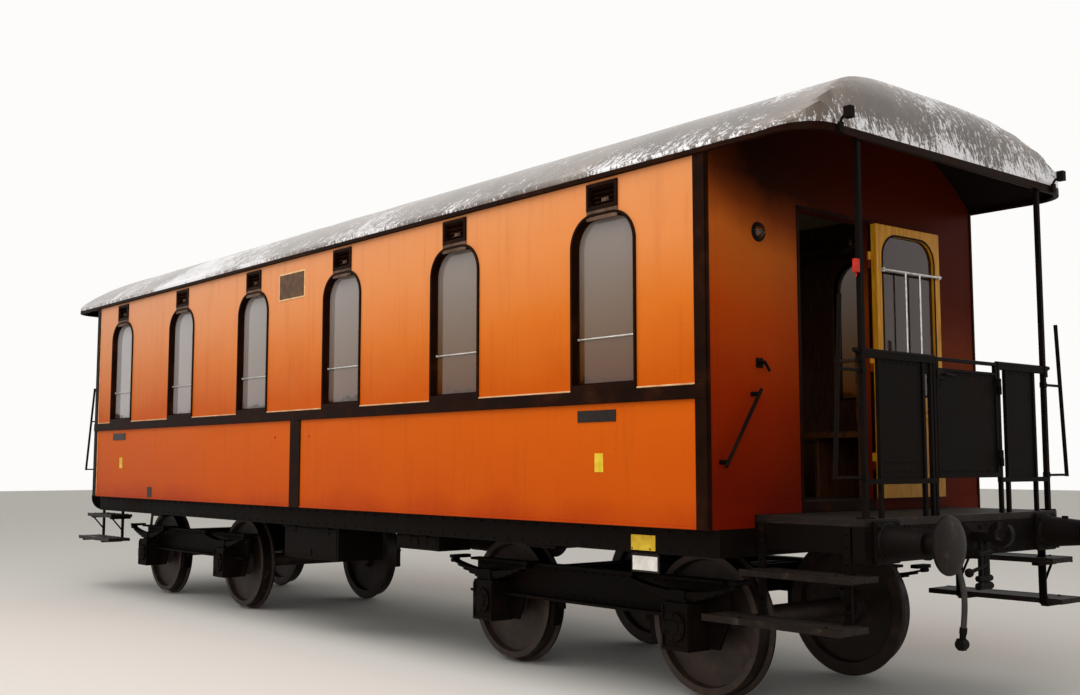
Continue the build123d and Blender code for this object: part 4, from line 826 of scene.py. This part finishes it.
# top, inner y, outer y, low x of each tread
tread_table = [(0.900, 0.960, 1.220, 4.910), (0.630, 1.060, 1.320, 4.705)]
hanger_places = (4.955, 5.565)
sheet_edges = [(-0.855, -0.416), (0.517, 0.860)]
gate_edges = [(-0.256, 0.384)]
post_x = 5.650
for number, end in both_ends:
    planks, treads, edging, irons = (bmesh.new() for _ in range(4))
    bolts = []
    for k in range(14):
        y = -1.048 + k * 0.1498
        add_block(planks, (4.900, y, 1.1652), (5.672, y + 0.1478, 1.2095), end)
    add_block(edging, (5.673, -1.050, 1.166), (headstock_x, 1.050, 1.210), end)
    deck = new_piece(f"deck_boards_{number}", planks, [deck_wood], "plank_wood", edge=0.002, segments=1)
    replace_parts(deck, f"platform_deck_{number}")

    for side in (-1, 1):
        for top, inner, outer, low in tread_table:
            middle = (inner + outer) / 2
            for low_y, high_y in ((inner, middle - 0.002), (middle + 0.002, outer - 0.005)):
                add_block(treads, (low, low_y, top - 0.035), (5.692, high_y, top - 0.001), end, side)
            add_block(edging, (low, outer - 0.005, top - 0.037), (5.695, outer, top), end, side)
            add_block(edging, (low, outer - 0.030, top - 0.001), (5.695, outer, top + 0.002), end, side)
            for x in hanger_places:
                add_block(irons, (x - 0.025, inner + 0.01, top - 0.055), (x + 0.025, outer - 0.01, top - 0.035),
                          end, side)
                if outer < 1.3:
                    add_rod(irons, (end * x, side * 1.068, 0.715), (end * x, side * 1.185, 0.850), 0.009, 10)
                bolts += [facing((end * x, side * y, top), (0, 0, 1)) for y in (inner + 0.05, outer - 0.05)]
                bolts.append(facing((end * x, side * 1.070, top + 0.06), (0, side, 0)))
        for x in hanger_places:
            add_block(irons, (x - 0.025, 1.050, 0.590), (x + 0.025, 1.070, 1.164), end, side)
            bolts += [facing((end * x, side * 1.070, z), (0, side, 0)) for z in (1.13, 1.06)]
    steps = new_piece(f"step_treads_{number}", treads, [deck_wood], "plank_wood", edge=0.003)
    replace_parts(steps, f"steps_{number}")
    new_piece(f"edge_strips_wear_and_highlight_{number}", edging, [worn_steel_and_highlight], "underframe_black", edge=0.0015)
    new_piece(f"step_irons_{number}", irons, *black, edge=0.003)
    new_piece(f"step_bolts_{number}", heads(0.012, 0.008, bolts), *black, smooth=60)

    for node in ("end_railing", "gangway_gate", "grab_rails"):
        softened(f"{node}_{number}", 0.003, *black)
    face_x = end * 5.6525
    for body, spans, top_row in (("coach", sheet_edges, 2.09), (f"gate_{number}", gate_edges, 2.052)):
        rivets = [facing((face_x, y, 1.475 + 0.072 * k), (end, 0, 0))
                  for low, high in spans for y in (low + 0.024, high - 0.024) for k in range(8)]
        rivets += [facing((face_x, low + 0.06 + 0.06 * k, z), (end, 0, 0))
                   for low, high in spans for k in range(int((high - low - 0.06) / 0.06)) for z in (1.47, top_row)]
        new_piece(f"sheet_rivets_{body}_{number}", heads(0.0065, 0.004, rivets, 6), *black, body, smooth=60)
    fittings, latch = bmesh.new(), bmesh.new()
    for side, low_y, high_y in ((-1, -1.005, -0.288), (1, 0.416, 1.005)):
        add_block(fittings, (5.612, 0.966, 1.209), (5.684, 1.044, 1.219), end, side)
        add_block(fittings, (5.622, 0.977, 3.346), (5.678, 1.033, 3.356), end, side)
        for z in (1.440, 2.035):
            add_block(fittings, (5.632, 0.987, z - 0.018), (5.668, 1.023, z + 0.018), end, side)
        add_block(fittings, (5.630, 1.000, 2.085), (5.670, 1.034, 2.160), end, side)
        add_rod(fittings, (end * post_x, side * 1.034, 2.135), (end * post_x, side * 1.080, 2.150), 0.013)
        add_rod(fittings, (end * post_x, low_y, 2.146), (end * post_x, high_y, 2.146), 0.016)
    add_block(fittings, (5.6475, -0.418, 2.042), (5.6535, -0.292, 2.112), end)
    add_block(fittings, (5.652, -0.853, 1.522), (5.657, -0.500, 1.540), end)
    new_piece(f"railing_fittings_{number}", fittings, *black, edge=0.002)
    add_rod(latch, (end * post_x, -0.278, 2.140), (end * post_x, 0.406, 2.140), 0.0125)
    add_block(latch, (5.652, -0.274, 2.020), (5.668, -0.190, 2.075), end)
    add_rod(latch, (end * 5.664, -0.215, 2.048), (end * 5.690, -0.215, 2.048), 0.008)
    add_rod(latch, (end * 5.686, -0.225, 2.050), (end * 5.686, -0.120, 2.040), 0.008, end_radius=0.011)
    new_piece(f"gate_latch_{number}", latch, *cast, f"gate_{number}", edge=0.0015)

for node in ("end_handrails", "lamp_brackets"):
    softened(node, 0.003, *black)

# Platform lamps and cord boxes
# Bulkhead lamps with a cast ring, a thick pressed-glass dome turned brown, and a wire guard.
# A small red box on each near post holds the end of the communication cord.
lamp_glass = finish("smoked_lamp_glass", (25, 4), [(0.3, "#3A1E0C"), (0.7, "#7A4A20")],
                    {"Transmission Weight": 0.3, "Roughness": 0.12})
lamp_y, lamp_z, dome_radius = -0.976, 2.934, 0.043
casting, dome, boxes = bmesh.new(), bmesh.new(), bmesh.new()
for number, end in both_ends:
    add_rod(casting, (end * 4.895, lamp_y, lamp_z), (end * 4.909, lamp_y, lamp_z), 0.062, 28, 0.056)
    made = bmesh.ops.create_uvsphere(dome, u_segments=24, v_segments=16, radius=dome_radius)["verts"]
    bmesh.ops.translate(dome, vec=(end * 4.896, lamp_y, lamp_z), verts=made)
    for turn in (0, 60, 120):
        across = Vector((0, cos(radians(turn)), sin(radians(turn))))
        hoop = [Vector((end * (4.896 + dome_radius * sin(radians(a))), lamp_y, lamp_z))
                + across * 0.048 * cos(radians(a)) for a in range(0, 181, 20)]
        for one, other in zip(hoop, hoop[1:]):
            add_rod(casting, one, other, 0.0025, 6)
    add_block(boxes, (5.638, -1.018, 2.585), (5.664, -1.058, 2.663), end)
    add_rod(boxes, (end * post_x, -1.040, 2.585), (end * post_x, -1.040, 2.560), 0.005)
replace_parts(new_piece("lamp_castings", casting, *cast, edge=0.001, smooth=50), "platform_lamps")
new_piece("lamp_domes", dome, [lamp_glass], smooth=80)
new_piece("red_cord_boxes", boxes, [sign_paint["red"]], edge=0.004, segments=3)

# Buffers, draw gear and brake pipes
# Cast and forged steel, black with worn bright heads, bolted base plates and a screw coupling.
# The screw hangs loose, with its two trunnions and the weighted handle that turns it.
piece = softened("buffers", 0.006, [cast_iron, worn_steel_and_highlight], "underframe_black")
repaint(piece, 1, lambda face: abs(face.center.x) > 6.086 and abs(face.normal.x) > 0.5)
softened("draw_gear", 0.005, *cast)
softened("brake_pipes", 0.003, *cast)
buffer_y, buffer_z, plate_x, screw_x, handle_x = 0.875, 1.080, 5.705, 5.765, 5.775
places = []
shape = bmesh.new()
for end in (-1, 1):
    for side in (-1, 1):
        y = side * buffer_y
        places += [facing((end * plate_x, y + dy, buffer_z + dz), (end, 0, 0))
                   for dy in (-0.092, 0.092) for dz in (-0.092, 0.092)]
        add_rod(shape, (end * 5.938, y, buffer_z), (end * 5.960, y, buffer_z), 0.086, 32)
        add_rod(shape, (end * plate_x, y, buffer_z), (end * 5.722, y, buffer_z), 0.112, 32, 0.104)
        add_rod(shape, (end * 5.830, y, 1.158), (end * 5.830, y, 1.182), 0.020, 12)
    places += [facing((end * plate_x, dy, buffer_z + dz), (end, 0, 0))
               for dy in (-0.075, 0.075) for dz in (-0.055, 0.055)]
    add_rod(shape, (end * screw_x, 0, 1.045), (end * screw_x, 0, 0.800), 0.0155)
    for k in range(14):
        z = 1.030 - 0.012 * k - (0.05 if k > 6 else 0)
        add_rod(shape, (end * screw_x, 0, z), (end * screw_x, 0, z - 0.006), 0.0185, 14)
    for z in (0.985, 0.835):
        add_rod(shape, (end * screw_x, -0.072, z), (end * screw_x, 0.072, z), 0.019)
    add_rod(shape, (end * handle_x, 0.02, 0.915), (end * handle_x, -0.165, 0.880), 0.009, 12, 0.012)
    made = bmesh.ops.create_uvsphere(shape, u_segments=16, v_segments=10, radius=0.027)["verts"]
    bmesh.ops.translate(shape, vec=(end * handle_x, -0.180, 0.877), verts=made)
new_piece("coupling_screws", shape, *cast, edge=0.0015)
new_piece("buffer_bolts", heads(0.017, 0.015, places, 6), *cast, smooth=20)

# Boxes and reservoir under the floor
# Sheet steel boxes with hinged, riveted doors, hung from the sole bars on the near side.
# A rolled air vessel with dished ends lies in two straps on the far side, with a drain tap below.
for node in ("battery_box", "equipment_box", "air_reservoir"):
    softened(node, 0.006, *black)
shape = bmesh.new()
places = []
# low x, high x, low z, high z of each box face at y = -1.3
for low, high, low_z, high_z in ((-0.4325, 0.5125, 0.675, 0.965), (1.415, 1.995, 0.845, 0.965)):
    add_block(shape, (low + 0.03, -1.300, low_z + 0.025), (high - 0.03, -1.308, high_z - 0.02))
    for x in (low, high - 0.028):
        add_block(shape, (x, -1.299, low_z), (x + 0.028, -1.305, high_z))
    for x in (low + 0.14, high - 0.22):
        add_block(shape, (x, -1.307, high_z - 0.075), (x + 0.07, -1.312, high_z - 0.005))
        add_rod(shape, (x - 0.005, -1.312, high_z - 0.014), (x + 0.075, -1.312, high_z - 0.014), 0.008, 12)
        places += [facing((x + step, -1.312, high_z - 0.05), (0, -1, 0)) for step in (0.015, 0.055)]
    middle = (low + high) / 2
    add_block(shape, (middle - 0.02, -1.307, low_z + 0.03), (middle + 0.02, -1.316, low_z + 0.085))
    places += [facing((low + 0.05 + 0.09 * k, -1.308, low_z + 0.037), (0, -1, 0))
               for k in range(int((high - low) / 0.09))]
vessel_y, vessel_z = 1.03, 0.780
# start x, end x, radius, sides, end radius: the straps, the dished ends and their plugs
for start, stop, radius, sides, end_radius in (
        (-0.455, -0.405, 0.168, 40, 0.168), (0.405, 0.455, 0.168, 40, 0.168),
        (-0.650, -0.672, 0.155, 40, 0.110), (-0.672, -0.690, 0.024, 14, 0.024),
        (0.650, 0.672, 0.155, 40, 0.110), (0.672, 0.690, 0.024, 14, 0.024)):
    add_rod(shape, (start, vessel_y, vessel_z), (stop, vessel_y, vessel_z), radius, sides, end_radius)
add_rod(shape, (0.0, vessel_y, 0.620), (0.0, vessel_y, 0.585), 0.014, 12)
add_rod(shape, (0.0, vessel_y, 0.597), (0.05, vessel_y, 0.597), 0.006, 8)
new_piece("box_fittings", shape, *black, edge=0.002)
new_piece("box_rivets", heads(0.007, 0.0045, places, 6), *black, smooth=60)

# Bogies
# Riveted plate frames with axleboxes in horn guides, leaf springs over the boxes and clasp brakes.
# Each axlebox has a round cover held by six bolts, and an oil plug on top.
bogie_x, axle_z, cover_y, guide_y, guide_face_y = 3.26, 0.490, 1.102, 1.079, 1.090
for number, end in both_ends:
    for part in ("frame", "axleboxes", "springs", "brake_gear"):
        softened(f"bogie_{number}_{part}", 0.004, *black)
    rivets, bolts = [], []
    shape = bmesh.new()
    for side in (-1, 1):
        for k in range(26):
            x = end * bogie_x - 1.25 + 0.1 * k
            if min(abs(x - end * bogie_x - 1), abs(x - end * bogie_x + 1)) > 0.14:
                rivets += [facing((x, side * 0.904, z), (0, side, 0)) for z in (0.575, 0.745)]
        for axle in (-1, 1):
            x = end * bogie_x + axle
            for turn in range(6):
                angle = radians(30 + 60 * turn)
                spot = (x + 0.074 * cos(angle), side * cover_y, axle_z + 0.074 * sin(angle))
                bolts.append(facing(spot, (0, side, 0)))
            add_rod(shape, (x, side * cover_y, axle_z), (x, side * 1.110, axle_z), 0.050, 28, 0.044)
            add_rod(shape, (x + 0.07, side * 1.06, 0.635), (x + 0.07, side * 1.06, 0.662), 0.016, 12)
            for step in (-0.105, 0.105):
                add_block(shape, (x + step - 0.008, guide_y, 0.36), (x + step + 0.008, guide_face_y, 0.62), side=side)
            add_block(shape, (x - 0.115, guide_y, 0.345), (x + 0.115, guide_face_y, 0.365), side=side)
    body = f"bogie_{number}"
    new_piece(f"axlebox_trim_{number}", shape, *black, body, edge=0.002)
    new_piece(f"bogie_rivets_{number}", heads(0.010, 0.006, rivets, 6), *black, body, smooth=50)
    new_piece(f"bogie_bolts_{number}", heads(0.010, 0.009, bolts, 6), *black, body, smooth=50)

# Wheelsets
# Rolled steel wheels pressed on a turned axle, brown with dust and rust.
# The rail keeps the tread and the flange polished.
wheel_steel = finish("dusty_wheel_steel", (8, 7, 0.65), [(0.3, "#1A110C"), (0.55, "#2E1E15"), (0.8, "#4C3424")],
                     {"Metallic": 0.3, "Roughness": 0.6}, relief=(0.3, 0.001))
polished_from = 0.452
for number in (1, 2, 3, 4):
    piece = softened(f"wheelset_{number}", 0.003, [wheel_steel, worn_steel_and_highlight], "wheel_steel", angle=25)
    low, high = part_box(f"wheelset_{number}")
    axle = Vector(((low[0] + high[0]) / 2, 0, (low[2] + high[2]) / 2))
    for face in piece.data.polygons:
        spot = Vector((face.center.x, 0, face.center.z)) - axle
        if spot.length > polished_from and spot.normalized().dot(face.normal) > 0.6:
            face.material_index = 1

# The size of the finished model beside the CAD model's.
low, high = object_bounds()
{"cad": [list(cad_box[0]), list(cad_box[1])], "seen": [list(low), list(high)]}
